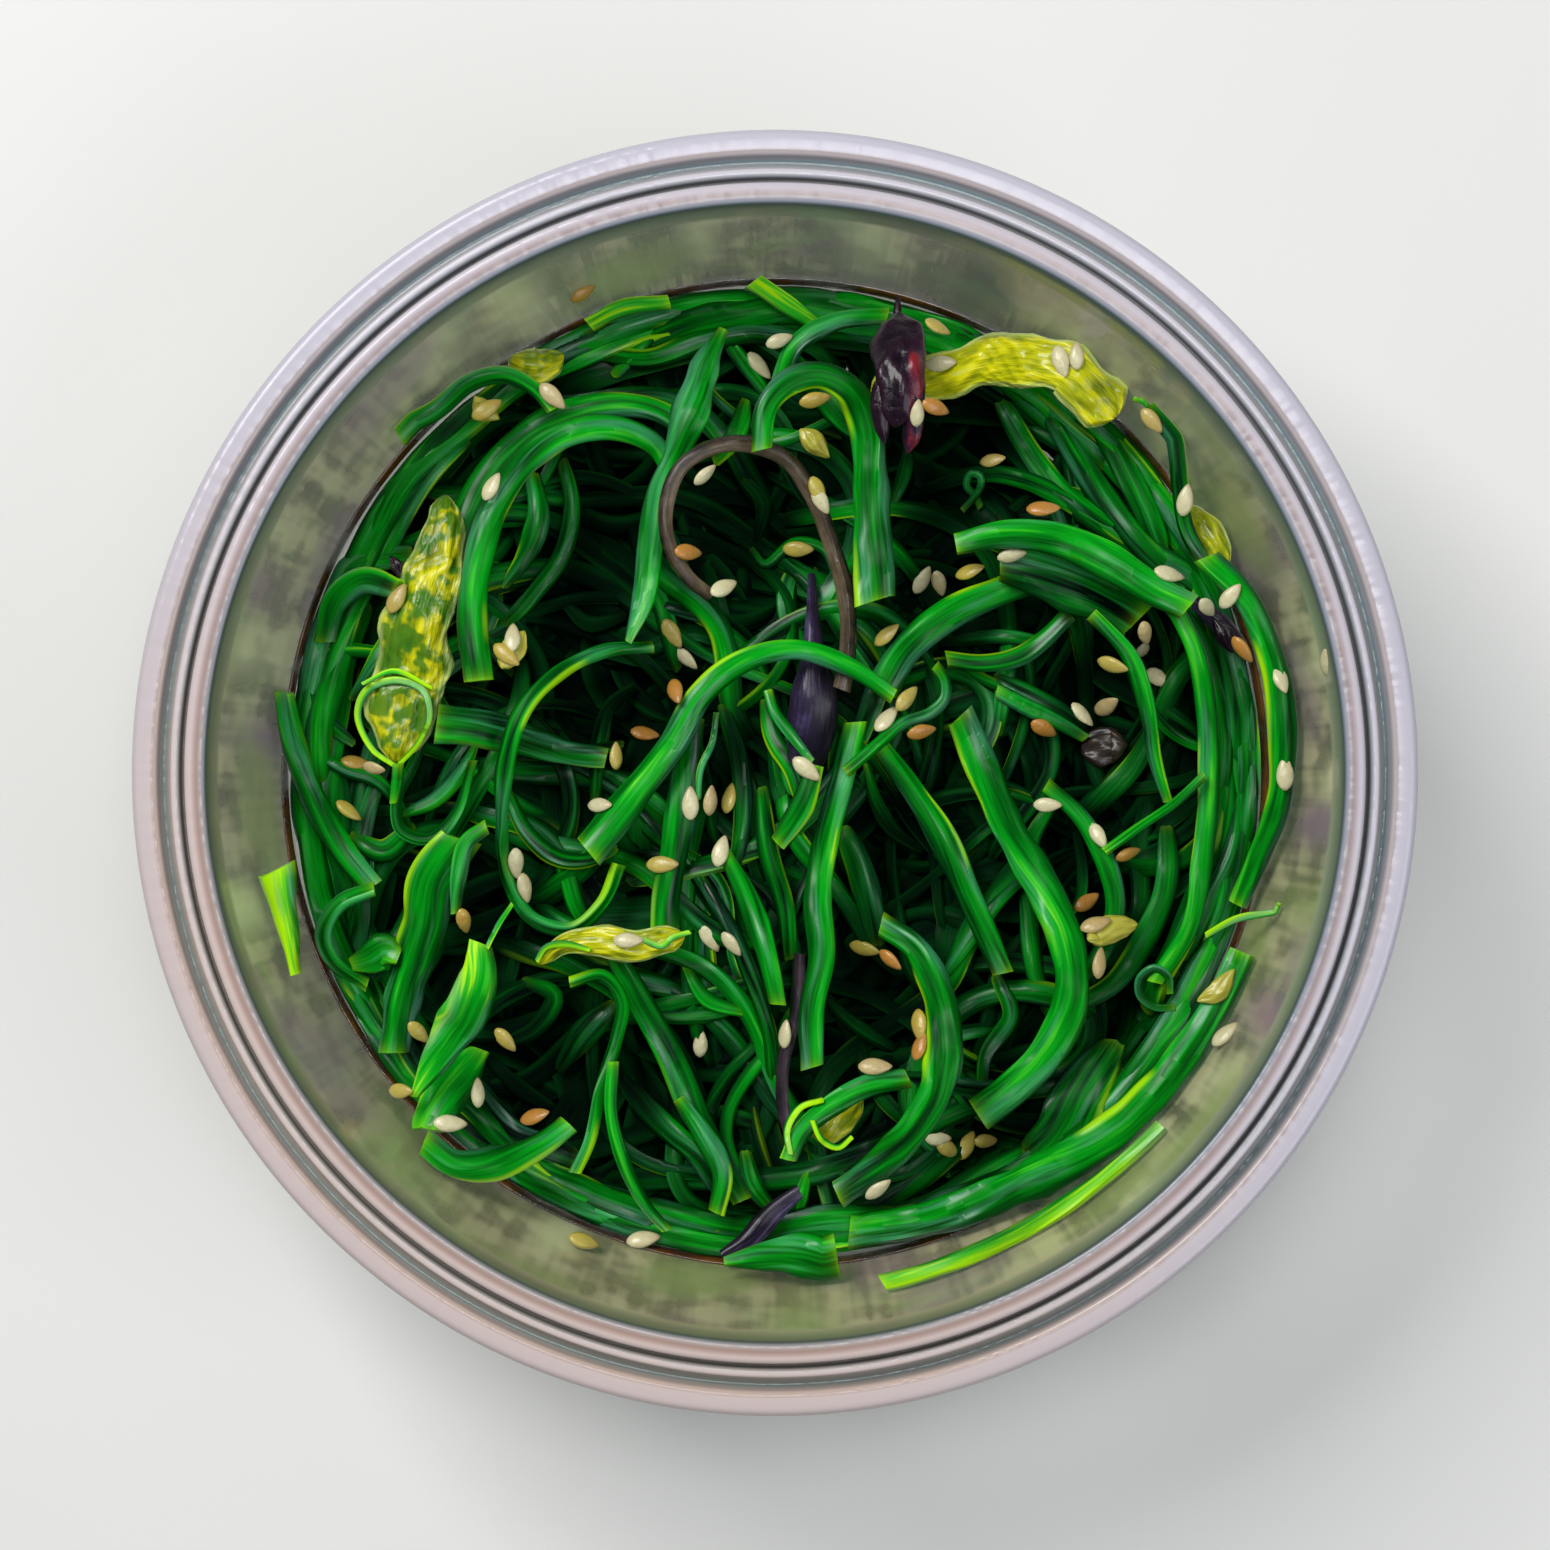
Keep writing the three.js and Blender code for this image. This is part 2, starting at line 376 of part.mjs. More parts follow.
// Calls visit with each cell within reach of the line from a to b, and the share of the line it is at
function cellsNear(a, b, reach, visit) {
  const clampCell = (value) => Math.min(GRID - 1, Math.max(0, value));
  const lowX = clampCell(Math.floor((Math.min(a.x, b.x) - reach) / CELL) + HALF_GRID);
  const highX = clampCell(Math.ceil((Math.max(a.x, b.x) + reach) / CELL) + HALF_GRID);
  const lowY = clampCell(Math.floor((Math.min(a.y, b.y) - reach) / CELL) + HALF_GRID);
  const highY = clampCell(Math.ceil((Math.max(a.y, b.y) + reach) / CELL) + HALF_GRID);
  const along = new THREE.Vector2(b.x - a.x, b.y - a.y);
  const squared = Math.max(along.lengthSq(), 1e-9);
  for (let row = lowY; row <= highY; row++) {
    for (let column = lowX; column <= highX; column++) {
      const x = (column - HALF_GRID) * CELL;
      const y = (row - HALF_GRID) * CELL;
      const share = THREE.MathUtils.clamp(((x - a.x) * along.x + (y - a.y) * along.y) / squared, 0, 1);
      if (Math.hypot(x - a.x - share * along.x, y - a.y - share * along.y) <= reach) {
        visit(row * GRID + column, share);
      }
    }
  }
}
const CELL_MARGIN = 0.72 * CELL;

// A pixel route as a smooth flat line with points a step apart, and the half width at each point
function flatRoute(route, widths, step, reach) {
  const corners = route.map(([px, py]) => new THREE.Vector3(
    (px - PICTURE_CENTRE[0]) * PICTURE_SCALE, (PICTURE_CENTRE[1] - py) * PICTURE_SCALE, 0));
  const curve = new THREE.CatmullRomCurve3(corners, false, "centripetal");
  const count = Math.max(3, Math.round(curve.getLength() / step));
  const points = curve.getSpacedPoints(count);
  const halves = points.map((_, index) => Math.min(
    0.5 * widthAt(widths, index / count) * PICTURE_SCALE, WIDEST_IN_BEND * bendRadius(points, index)));
  points.forEach((point, index) => {
    const radius = Math.hypot(point.x, point.y);
    const most = reach - halves[index];
    if (radius > most) point.multiplyScalar(most / radius);
  });
  return { points, halves };
}

// Width at a share of a route, from the widths at even stations along it
function widthAt(widths, share) {
  const station = share * (widths.length - 1);
  const before = Math.min(Math.floor(station), widths.length - 2);
  return THREE.MathUtils.lerp(widths[before], widths[before + 1], station - before);
}

// Radius of the bend at a point, from the circle through it and its neighbours
function bendRadius(points, index) {
  if (index === 0 || index === points.length - 1) return Infinity;
  const [a, b, c] = [points[index - 1], points[index], points[index + 1]];
  const area = Math.abs((b.x - a.x) * (c.y - a.y) - (b.y - a.y) * (c.x - a.x));
  return a.distanceTo(b) * b.distanceTo(c) * a.distanceTo(c) / Math.max(2 * area, 1e-6);
}

// Gives each point of a flat route its level on what already lies below, never steeper than the climb
function lay(route, rise, gap, ground) {
  const { points, halves } = route;
  const need = points.map((point, index) =>
    wallLevel(Math.hypot(point.x, point.y) + halves[index] + WALL_CLEARANCE));
  for (let index = 0; index + 1 < points.length; index++) {
    const reach = Math.max(halves[index], halves[index + 1]) + CELL_MARGIN;
    let highest = 0;
    cellsNear(points[index], points[index + 1], reach, (cell) => {
      highest = Math.max(highest, ground[cell]);
    });
    need[index] = Math.max(need[index], highest);
    need[index + 1] = Math.max(need[index + 1], highest);
  }
  const step = points[0].distanceTo(points[1]);
  const levels = need.slice();
  for (let index = 1; index < levels.length; index++) {
    levels[index] = Math.max(levels[index], levels[index - 1] - CLIMB * step);
  }
  for (let index = levels.length - 2; index >= 0; index--) {
    levels[index] = Math.max(levels[index], levels[index + 1] - CLIMB * step);
  }
  const smooth = levels.map((level, index) => {
    const before = levels[Math.max(0, index - 1)];
    const after = levels[Math.min(levels.length - 1, index + 1)];
    return Math.max(need[index], (before + 2 * level + after) / 4);
  });
  points.forEach((point, index) => {
    point.z = smooth[index] + gap + rise[index];
  });
}

// Marks what a laid piece covers
function cover(route, rise, owner) {
  const { points, halves } = route;
  for (let index = 0; index + 1 < points.length; index++) {
    const [a, b] = [points[index], points[index + 1]];
    const reach = Math.max(halves[index], halves[index + 1]) + CELL_MARGIN;
    const slope = Math.abs(b.z - a.z) / Math.max(a.distanceTo(b), 1e-6);
    cellsNear(a, b, reach, (cell, share) => {
      const top = THREE.MathUtils.lerp(a.z + rise[index], b.z + rise[index + 1], share) + slope * CELL_MARGIN;
      if (top > surface.level[cell]) {
        surface.level[cell] = top;
        surface.owner[cell] = owner;
      }
    });
  }
}

// The directions along, across and up at each point of a laid route, turned about the line by its roll
function framesOf(points, rolls) {
  return points.map((point, index) => {
    const before = points[Math.max(0, index - 1)];
    const after = points[Math.min(points.length - 1, index + 1)];
    const along = after.clone().sub(before).normalize();
    const across = new THREE.Vector3(-along.y, along.x, 0).normalize();
    const up = along.clone().cross(across);
    const turn = rolls[index];
    return {
      point,
      across: across.clone().multiplyScalar(Math.cos(turn)).addScaledVector(up, Math.sin(turn)),
      up: up.clone().multiplyScalar(Math.cos(turn)).addScaledVector(across, -Math.sin(turn)),
    };
  });
}

// Carries a closed outline, given for each frame as pairs of across and up, along the frames with flat ends
function swept(frames, outlineAt) {
  const positions = [];
  const faces = [];
  const sides = outlineAt(0).length;
  frames.forEach(({ point, across, up }, index) => {
    for (const [sideways, upwards] of outlineAt(index)) {
      const corner = point.clone().addScaledVector(across, sideways).addScaledVector(up, upwards);
      positions.push(corner.x, corner.y, corner.z);
    }
  });
  const last = (frames.length - 1) * sides;
  for (let ring = 0; ring < last; ring += sides) {
    for (let side = 0; side < sides; side++) {
      const next = (side + 1) % sides;
      faces.push(ring + side, ring + next, ring + sides + next);
      faces.push(ring + side, ring + sides + next, ring + sides + side);
    }
  }
  for (let side = 1; side + 1 < sides; side++) {
    faces.push(0, side + 1, side);
    faces.push(last, last + side, last + side + 1);
  }
  const geometry = new THREE.BufferGeometry();
  geometry.setAttribute("position", new THREE.Float32BufferAttribute(positions, 3));
  geometry.setIndex(faces);
  return geometry;
}

// A seaweed blade's section: a flat underside and a narrower top
const bladeOutline = (half, thickness) => [
  [half, -thickness / 2], [TOP_EDGE * half, thickness / 2],
  [-TOP_EDGE * half, thickness / 2], [-half, -thickness / 2],
];

// A round section of a chilli or a rolled jelly, with its sides across and its thickness up
const roundOutline = (half, thickness, sides, ripple) => Array.from({ length: sides }, (_, side) => {
  const angle = ((side + 0.5) / sides) * 2 * Math.PI;
  const swell = 1 + ripple * (side % 2 ? 1 : -1);
  return [half * swell * Math.cos(angle), (thickness / 2) * Math.sin(angle)];
});

const stripThickness = (half) => THREE.MathUtils.clamp(2 * half * THICKNESS_SHARE, THINNEST, THICKEST);

// A strip's roll: a slow twist that is level at both ends
function twist(count, most) {
  const phase = between(0, 2 * Math.PI);
  return Array.from({ length: count }, (_, index) => most * Math.sin(phase + 2.2 * Math.PI * index / count));
}

// Half the height that a rolled section takes
const rolledRise = (half, thickness, roll) =>
  half * Math.abs(Math.sin(roll)) + (thickness / 2) * Math.cos(roll);

// What each kind of piece is: its most roll, its thickness and its outline at a share of its length
const KINDS = {
  strip: {
    roll: 0.3, step: STRIP_STEP,
    thickness: stripThickness,
    outline: (half, thickness) => bladeOutline(half, thickness),
  },
  wood_ear: {
    roll: 0.1, step: STRIP_STEP,
    thickness: () => 2.4,
    outline: (half, thickness) => bladeOutline(half, thickness),
  },
  jelly: {
    roll: 0.12, step: 2.4,
    thickness: (half) => Math.min(3.2, 1.5 * half),
    outline: (half, thickness, index) => roundOutline(half * (index % 2 ? 0.8 : 1), thickness, 6, 0.06),
  },
  chilli: {
    roll: 0, step: 2,
    thickness: (half) => 1.7 * half,
    outline: (half, thickness) => roundOutline(half, thickness, 8, 0.05),
  },
};

// Lays one traced piece on the ground, with a gap below it or sunk in, and returns its solid's surface
function tracedPiece(kind, widths, route, { step, gap, ground, reach }, owner) {
  const flat = flatRoute(route, widths, step, reach);
  const rolls = twist(flat.points.length, kind.roll);
  const thicknesses = flat.halves.map((half) => kind.thickness(half));
  const rise = flat.halves.map((half, index) => rolledRise(half, thicknesses[index], rolls[index]));
  lay(flat, rise, gap, ground);
  cover(flat, rise, owner);
  const frames = framesOf(flat.points, rolls);
  const geometry = swept(frames, (index) => kind.outline(flat.halves[index], thicknesses[index], index));
  return { geometry, frames, halves: flat.halves, thicknesses };
}

// A short ridged strip that fills the bed, one of an even spread over it
function fillStrip(index) {
  const radius = FILL_REACH * Math.sqrt((index + 0.5) / FILL_STRIPS);
  const angle = index * Math.PI * (3 - Math.sqrt(5));
  const heading = angle + between(0.2, 0.8) * Math.PI;
  const bend = between(-0.35, 0.35);
  const length = between(...FILL_LENGTHS);
  const steps = FILL_STEPS;
  const points = Array.from({ length: steps + 1 }, (_, step) => {
    const along = (step / steps - 0.5) * length;
    const point = new THREE.Vector3(
      radius * Math.cos(angle) + along * Math.cos(heading + bend * step),
      radius * Math.sin(angle) + along * Math.sin(heading + bend * step), 0);
    const most = (BED_REACH - 1) / Math.hypot(point.x, point.y);
    return most < 1 ? point.multiplyScalar(most) : point;
  });
  const half = between(0.8, 1.3);
  const flat = { points, halves: points.map(() => half) };
  const rise = points.map(() => FILL_TALL / 2);
  lay(flat, rise, -between(SHALLOW_SINK, DEEP_SINK), bareBed);
  cover(flat, rise, pieces.length);
  const frames = framesOf(points, points.map(() => 0));
  const geometry = swept(frames, () => [[half, -FILL_TALL / 2], [0, FILL_TALL / 2], [-half, -FILL_TALL / 2]]);
  return { geometry, frames, halves: flat.halves, thicknesses: points.map(() => FILL_TALL) };
}

// A strip that lies against the inside of the wall, rising or sinking as it goes round, sunk into the core
function wallStrip() {
  const start = between(0, 2 * Math.PI);
  const turn = between(...WALL_STRIP_TURNS);
  const low = between(CORE_BOTTOM + 3, CORE_TOP - 5);
  const high = THREE.MathUtils.clamp(low + between(-9, 9), CORE_BOTTOM + 3, CORE_TOP - 3);
  const half = between(1.1, 1.9);
  const steps = WALL_STRIP_STEPS;
  const frames = Array.from({ length: steps + 1 }, (_, index) => {
    const share = index / steps;
    const angle = start + turn * share;
    const level = THREE.MathUtils.lerp(low, high, share) + 0.8 * Math.sin(Math.PI * share);
    const radius = wallRadius(level - half) - WALL_CLEARANCE - WALL_STRIP_DEPTH / 2;
    const inward = new THREE.Vector3(-Math.cos(angle), -Math.sin(angle), 0);
    const point = new THREE.Vector3(radius * Math.cos(angle), radius * Math.sin(angle), level);
    return { point, across: inward, up: new THREE.Vector3(0, 0, 1) };
  });
  const taper = (index) => half * (index === 0 || index === steps ? 0.6 : 1);
  return swept(frames, (index) => [
    [WALL_STRIP_DEPTH / 2, -taper(index)], [WALL_STRIP_DEPTH / 2, taper(index)],
    [-WALL_STRIP_DEPTH / 2, 0.7 * taper(index)], [-WALL_STRIP_DEPTH / 2, -0.7 * taper(index)],
  ]);
}

// The packed middle of the salad, which the bed's strips stand out of
function coreGeometry() {
  const inset = (level) => wallRadius(level) - CORE_INSET;
  return turned([
    [0, CORE_BOTTOM], [inset(CORE_BOTTOM) - 1.5, CORE_BOTTOM], [inset(CORE_BOTTOM + 2), CORE_BOTTOM + 2],
    [inset(CORE_TOP - 0.8), CORE_TOP - 0.8], [inset(CORE_TOP) - 0.2, crownLevel(inset(CORE_TOP))],
    [0.55 * inset(CORE_TOP), CORE_TOP + 0.75 * BED_CROWN], [0, CORE_TOP + BED_CROWN],
  ], CORE_SIDES);
}

// A sesame seed: flat, pointed at one end and round at the other, lying along a direction
function seedGeometry(place, angle) {
  const ring = Array.from({ length: SEED_SIDES }, (_, side) => {
    const turn = (side / SEED_SIDES) * 2 * Math.PI;
    const narrowing = 1 - SEED_POINTING * Math.cos(turn);
    return [0.5 * SEED_LENGTH * Math.cos(turn), 0.5 * SEED_WIDTH * narrowing * Math.sin(turn)];
  });
  const positions = [0, 0, -SEED_THICKNESS / 2];
  for (const [x, y] of ring) positions.push(x, y, SEED_EDGE_LEVEL);
  positions.push(-SEED_EDGE_LEVEL * SEED_LENGTH, 0, SEED_THICKNESS / 2);
  const faces = [];
  const tip = SEED_SIDES + 1;
  for (let side = 0; side < SEED_SIDES; side++) {
    const here = 1 + side;
    const next = 1 + (side + 1) % SEED_SIDES;
    faces.push(0, next, here, tip, here, next);
  }
  const geometry = new THREE.BufferGeometry();
  geometry.setAttribute("position", new THREE.Float32BufferAttribute(positions, 3));
  geometry.setIndex(faces);
  geometry.rotateZ(angle);
  geometry.translate(place.x, place.y, place.z);
  return geometry;
}

// Finds the piece under a seed and the place on its top, or nothing where the seed would cross a neighbour
function seedPlace([px, py, degrees], pieces) {
  const x = (px - PICTURE_CENTRE[0]) * PICTURE_SCALE;
  const y = (PICTURE_CENTRE[1] - py) * PICTURE_SCALE;
  const cell = (Math.round(y / CELL) + HALF_GRID) * GRID + Math.round(x / CELL) + HALF_GRID;
  const owner = surface.owner[cell];
  if (owner < 0) return null;
  const piece = pieces[owner];
  let nearest = 0;
  piece.frames.forEach(({ point }, index) => {
    const best = piece.frames[nearest].point;
    if (Math.hypot(point.x - x, point.y - y) < Math.hypot(best.x - x, best.y - y)) nearest = index;
  });
  nearest = THREE.MathUtils.clamp(nearest, 1, piece.frames.length - 2);
  const frame = piece.frames[nearest];
  const limit = 0.3 * piece.halves[nearest];
  const offset = new THREE.Vector3(x - frame.point.x, y - frame.point.y, 0);
  const sideways = THREE.MathUtils.clamp(offset.dot(frame.across), -limit, limit);
  const place = frame.point.clone().addScaledVector(frame.across, sideways)
    .addScaledVector(frame.up, piece.thicknesses[nearest] / 2);
  place.z += SEED_SINK;
  const angle = THREE.MathUtils.degToRad(degrees);
  const end = new THREE.Vector3(Math.cos(angle), Math.sin(angle), 0).multiplyScalar(SEED_LENGTH / 2);
  let clear = true;
  cellsNear(place.clone().sub(end), place.clone().add(end), SEED_WIDTH / 2 + CELL_MARGIN, (near) => {
    const foreign = pieces[surface.owner[near]]?.node !== piece.node;
    if (foreign && surface.level[near] > place.z - SEED_THICKNESS / 2 - 0.3) clear = false;
  });
  return clear ? { node: piece.node, geometry: seedGeometry(place, angle) } : null;
}

// The chilli's second lobe, which leaves the pod near its lower end
function chilliLobe(piece) {
  const start = piece.frames[piece.frames.length - LOBE_STEPS].point;
  const frames = Array.from({ length: LOBE_STEPS }, (_, index) => {
    const point = start.clone().add(new THREE.Vector3(LOBE_WAY[0] * index, LOBE_WAY[1] * index, 0));
    return { point, across: new THREE.Vector3(1, 0, 0), up: new THREE.Vector3(0, 0, 1) };
  });
  return swept(frames, (index) => roundOutline(
    LOBE_HALF - LOBE_TAPER[0] * index, LOBE_THICKNESS - LOBE_TAPER[1] * index, 6, 0));
}

// Colour of a seaweed strip from its tone: dark at 0, green at a half, lime at 1
function stripColour(tone) {
  const colour = new THREE.Color(COLOURS.dark);
  if (tone < 0.5) return colour.lerp(new THREE.Color(COLOURS.green), 2 * tone);
  return new THREE.Color(COLOURS.green).lerp(new THREE.Color(COLOURS.lime), 2 * tone - 1);
}

const LOOKS = {
  strip: (tone) => ({ color: stripColour(tone), roughness: 0.25, metalness: 0 }),
  wood_ear: () => ({ color: COLOURS.wood_ear, roughness: 0.35, metalness: 0 }),
  jelly: () => ({ color: COLOURS.jelly, roughness: 0.15, metalness: 0 }),
  chilli: () => ({ color: COLOURS.chilli, roughness: 0.3, metalness: 0 }),
};

const salad = new THREE.Group();

function addMesh(name, geometry, look) {
  const mesh = new THREE.Mesh(geometry, new THREE.MeshStandardMaterial(look));
  mesh.name = name;
  salad.add(mesh);
}

// The bed is laid first, then the pieces on top of it, each over what lies below
const pieces = [];
const bedParts = [coreGeometry()];
for (let index = 0; index < WALL_STRIPS; index++) bedParts.push(wallStrip());
for (const [, widths, , route] of BED_STRIPS) {
  const gap = -between(SHALLOW_SINK, DEEP_SINK);
  const laid = { step: BED_STEP, gap, ground: bareBed, reach: BED_REACH };
  const piece = tracedPiece(KINDS.strip, widths, route, laid, pieces.length);
  pieces.push({ ...piece, node: "wakame_bed" });
  bedParts.push(piece.geometry);
}
for (let index = 0; index < FILL_STRIPS; index++) {
  const piece = fillStrip(index);
  pieces.push({ ...piece, node: "wakame_bed" });
  bedParts.push(piece.geometry);
}
for (const [name, kindName, widths, , route] of TOP_PIECES) {
  const kind = KINDS[kindName];
  const reach = LEANING.includes(name) ? WALL_REACH : TOP_REACH;
  const laid = { step: kind.step, gap: REST_GAP, ground: surface.level, reach };
  pieces.push({ ...tracedPiece(kind, widths, route, laid, pieces.length), node: name });
}

// Each seed is fused into what it lies on
const seedsOn = new Map();
for (const seed of SESAME) {
  const found = seedPlace(seed, pieces);
  if (found) seedsOn.set(found.node, [...(seedsOn.get(found.node) ?? []), found.geometry]);
}

addMesh("tub", tubGeometry(), { color: COLOURS.tub, roughness: 0.2, metalness: 0 });
addMesh("wakame_bed", fuse([...bedParts, ...(seedsOn.get("wakame_bed") ?? [])]), LOOKS.strip(0.15));
for (const [name, kindName, , tone] of TOP_PIECES) {
  const piece = pieces.find(({ node }) => node === name);
  const joined = [piece.geometry, ...(seedsOn.get(name) ?? [])];
  if (kindName === "chilli") joined.push(chilliLobe(piece));
  addMesh(name, joined.length > 1 ? fuse(joined) : piece.geometry, LOOKS[kindName](tone));
}

export default salad;
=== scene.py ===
import math

import bmesh
import bpy
import numpy as np
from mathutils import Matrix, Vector
from bpy.props import FloatProperty, FloatVectorProperty, IntProperty, PointerProperty


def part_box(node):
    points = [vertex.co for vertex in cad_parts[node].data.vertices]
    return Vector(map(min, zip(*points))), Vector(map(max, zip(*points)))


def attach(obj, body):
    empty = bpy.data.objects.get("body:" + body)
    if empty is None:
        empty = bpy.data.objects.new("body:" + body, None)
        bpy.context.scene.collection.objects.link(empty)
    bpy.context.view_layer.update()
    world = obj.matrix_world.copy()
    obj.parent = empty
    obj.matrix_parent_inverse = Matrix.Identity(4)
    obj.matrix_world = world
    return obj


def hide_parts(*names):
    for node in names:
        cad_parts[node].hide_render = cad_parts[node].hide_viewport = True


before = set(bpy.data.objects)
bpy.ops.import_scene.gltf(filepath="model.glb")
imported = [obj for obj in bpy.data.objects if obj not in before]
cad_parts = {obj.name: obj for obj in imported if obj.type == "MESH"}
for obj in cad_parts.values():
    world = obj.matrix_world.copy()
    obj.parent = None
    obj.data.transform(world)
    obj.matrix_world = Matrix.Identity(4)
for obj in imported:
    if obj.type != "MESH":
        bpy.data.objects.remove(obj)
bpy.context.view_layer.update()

bl_info = {
    "name": "Wakame salad tub",
    "version": (1, 0, 0),
    "blender": (4, 5, 0),
    "location": "3D View > Sidebar > Salad",
    "description": "Builds a clear tub of wakame salad round its fixed frame",
    "category": "Add Mesh",
}

MM = 0.001

# The tub, in millimetres: its rim and height come from the frame
RIM_RADIUS, _, TUB_HEIGHT = (float(reach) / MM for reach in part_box("tub")[1])
WALL = 0.9
BASE_RADIUS, BASE_LEVEL = 41.5, 2.0
MOUTH_RADIUS, MOUTH_LEVEL = RIM_RADIUS - 7.5, TUB_HEIGHT - 2.0
FLOOR_UNDERSIDE, FLOOR_TOP, FOOT_INNER = 0.6, 1.6, 37.5
WALL_SLOPE = (MOUTH_RADIUS - BASE_RADIUS) / (MOUTH_LEVEL - BASE_LEVEL)

# The salad's bed
BED_TOP = 23.2
BED_CROWN = 1.3
CLEAR_OF_WALL = 0.35

# Dark gaps between the strips: their places in pixels, and their depth and reach in millimetres
GAPS = [
    (600, 560), (570, 640), (745, 520), (930, 440), (900, 870), (640, 1090), (520, 1060), (960, 600),
    (690, 740), (1010, 1180), (870, 1010), (1160, 1000), (600, 700), (480, 900), (610, 520), (905, 840),
    (975, 430), (1085, 850), (1100, 700),
]
GAP_DEPTH = 6.0
GAP_REACH = 3.8

# Steps that spread points evenly: one turn of an even spiral, and a pair that fills a disc evenly
GOLDEN_TURN = math.pi * (3 - math.sqrt(5))
EVEN_RADIUS, EVEN_ANGLE = 0.7548777, 0.5698403

# Strips wider than this in the picture, in pixels, are ruffled more
WIDE = 36

# Mean level of the dressing's line along the wall, in millimetres
DRESSING_LEVEL = 25.9

# The picture: its size and the tub's centre in pixels, and millimetres per pixel at the salad's surface
IMAGE_SIZE = 1550
PICTURE_CENTRE = np.array([775.0, 773.0])
PICTURE_SCALE = 0.0938

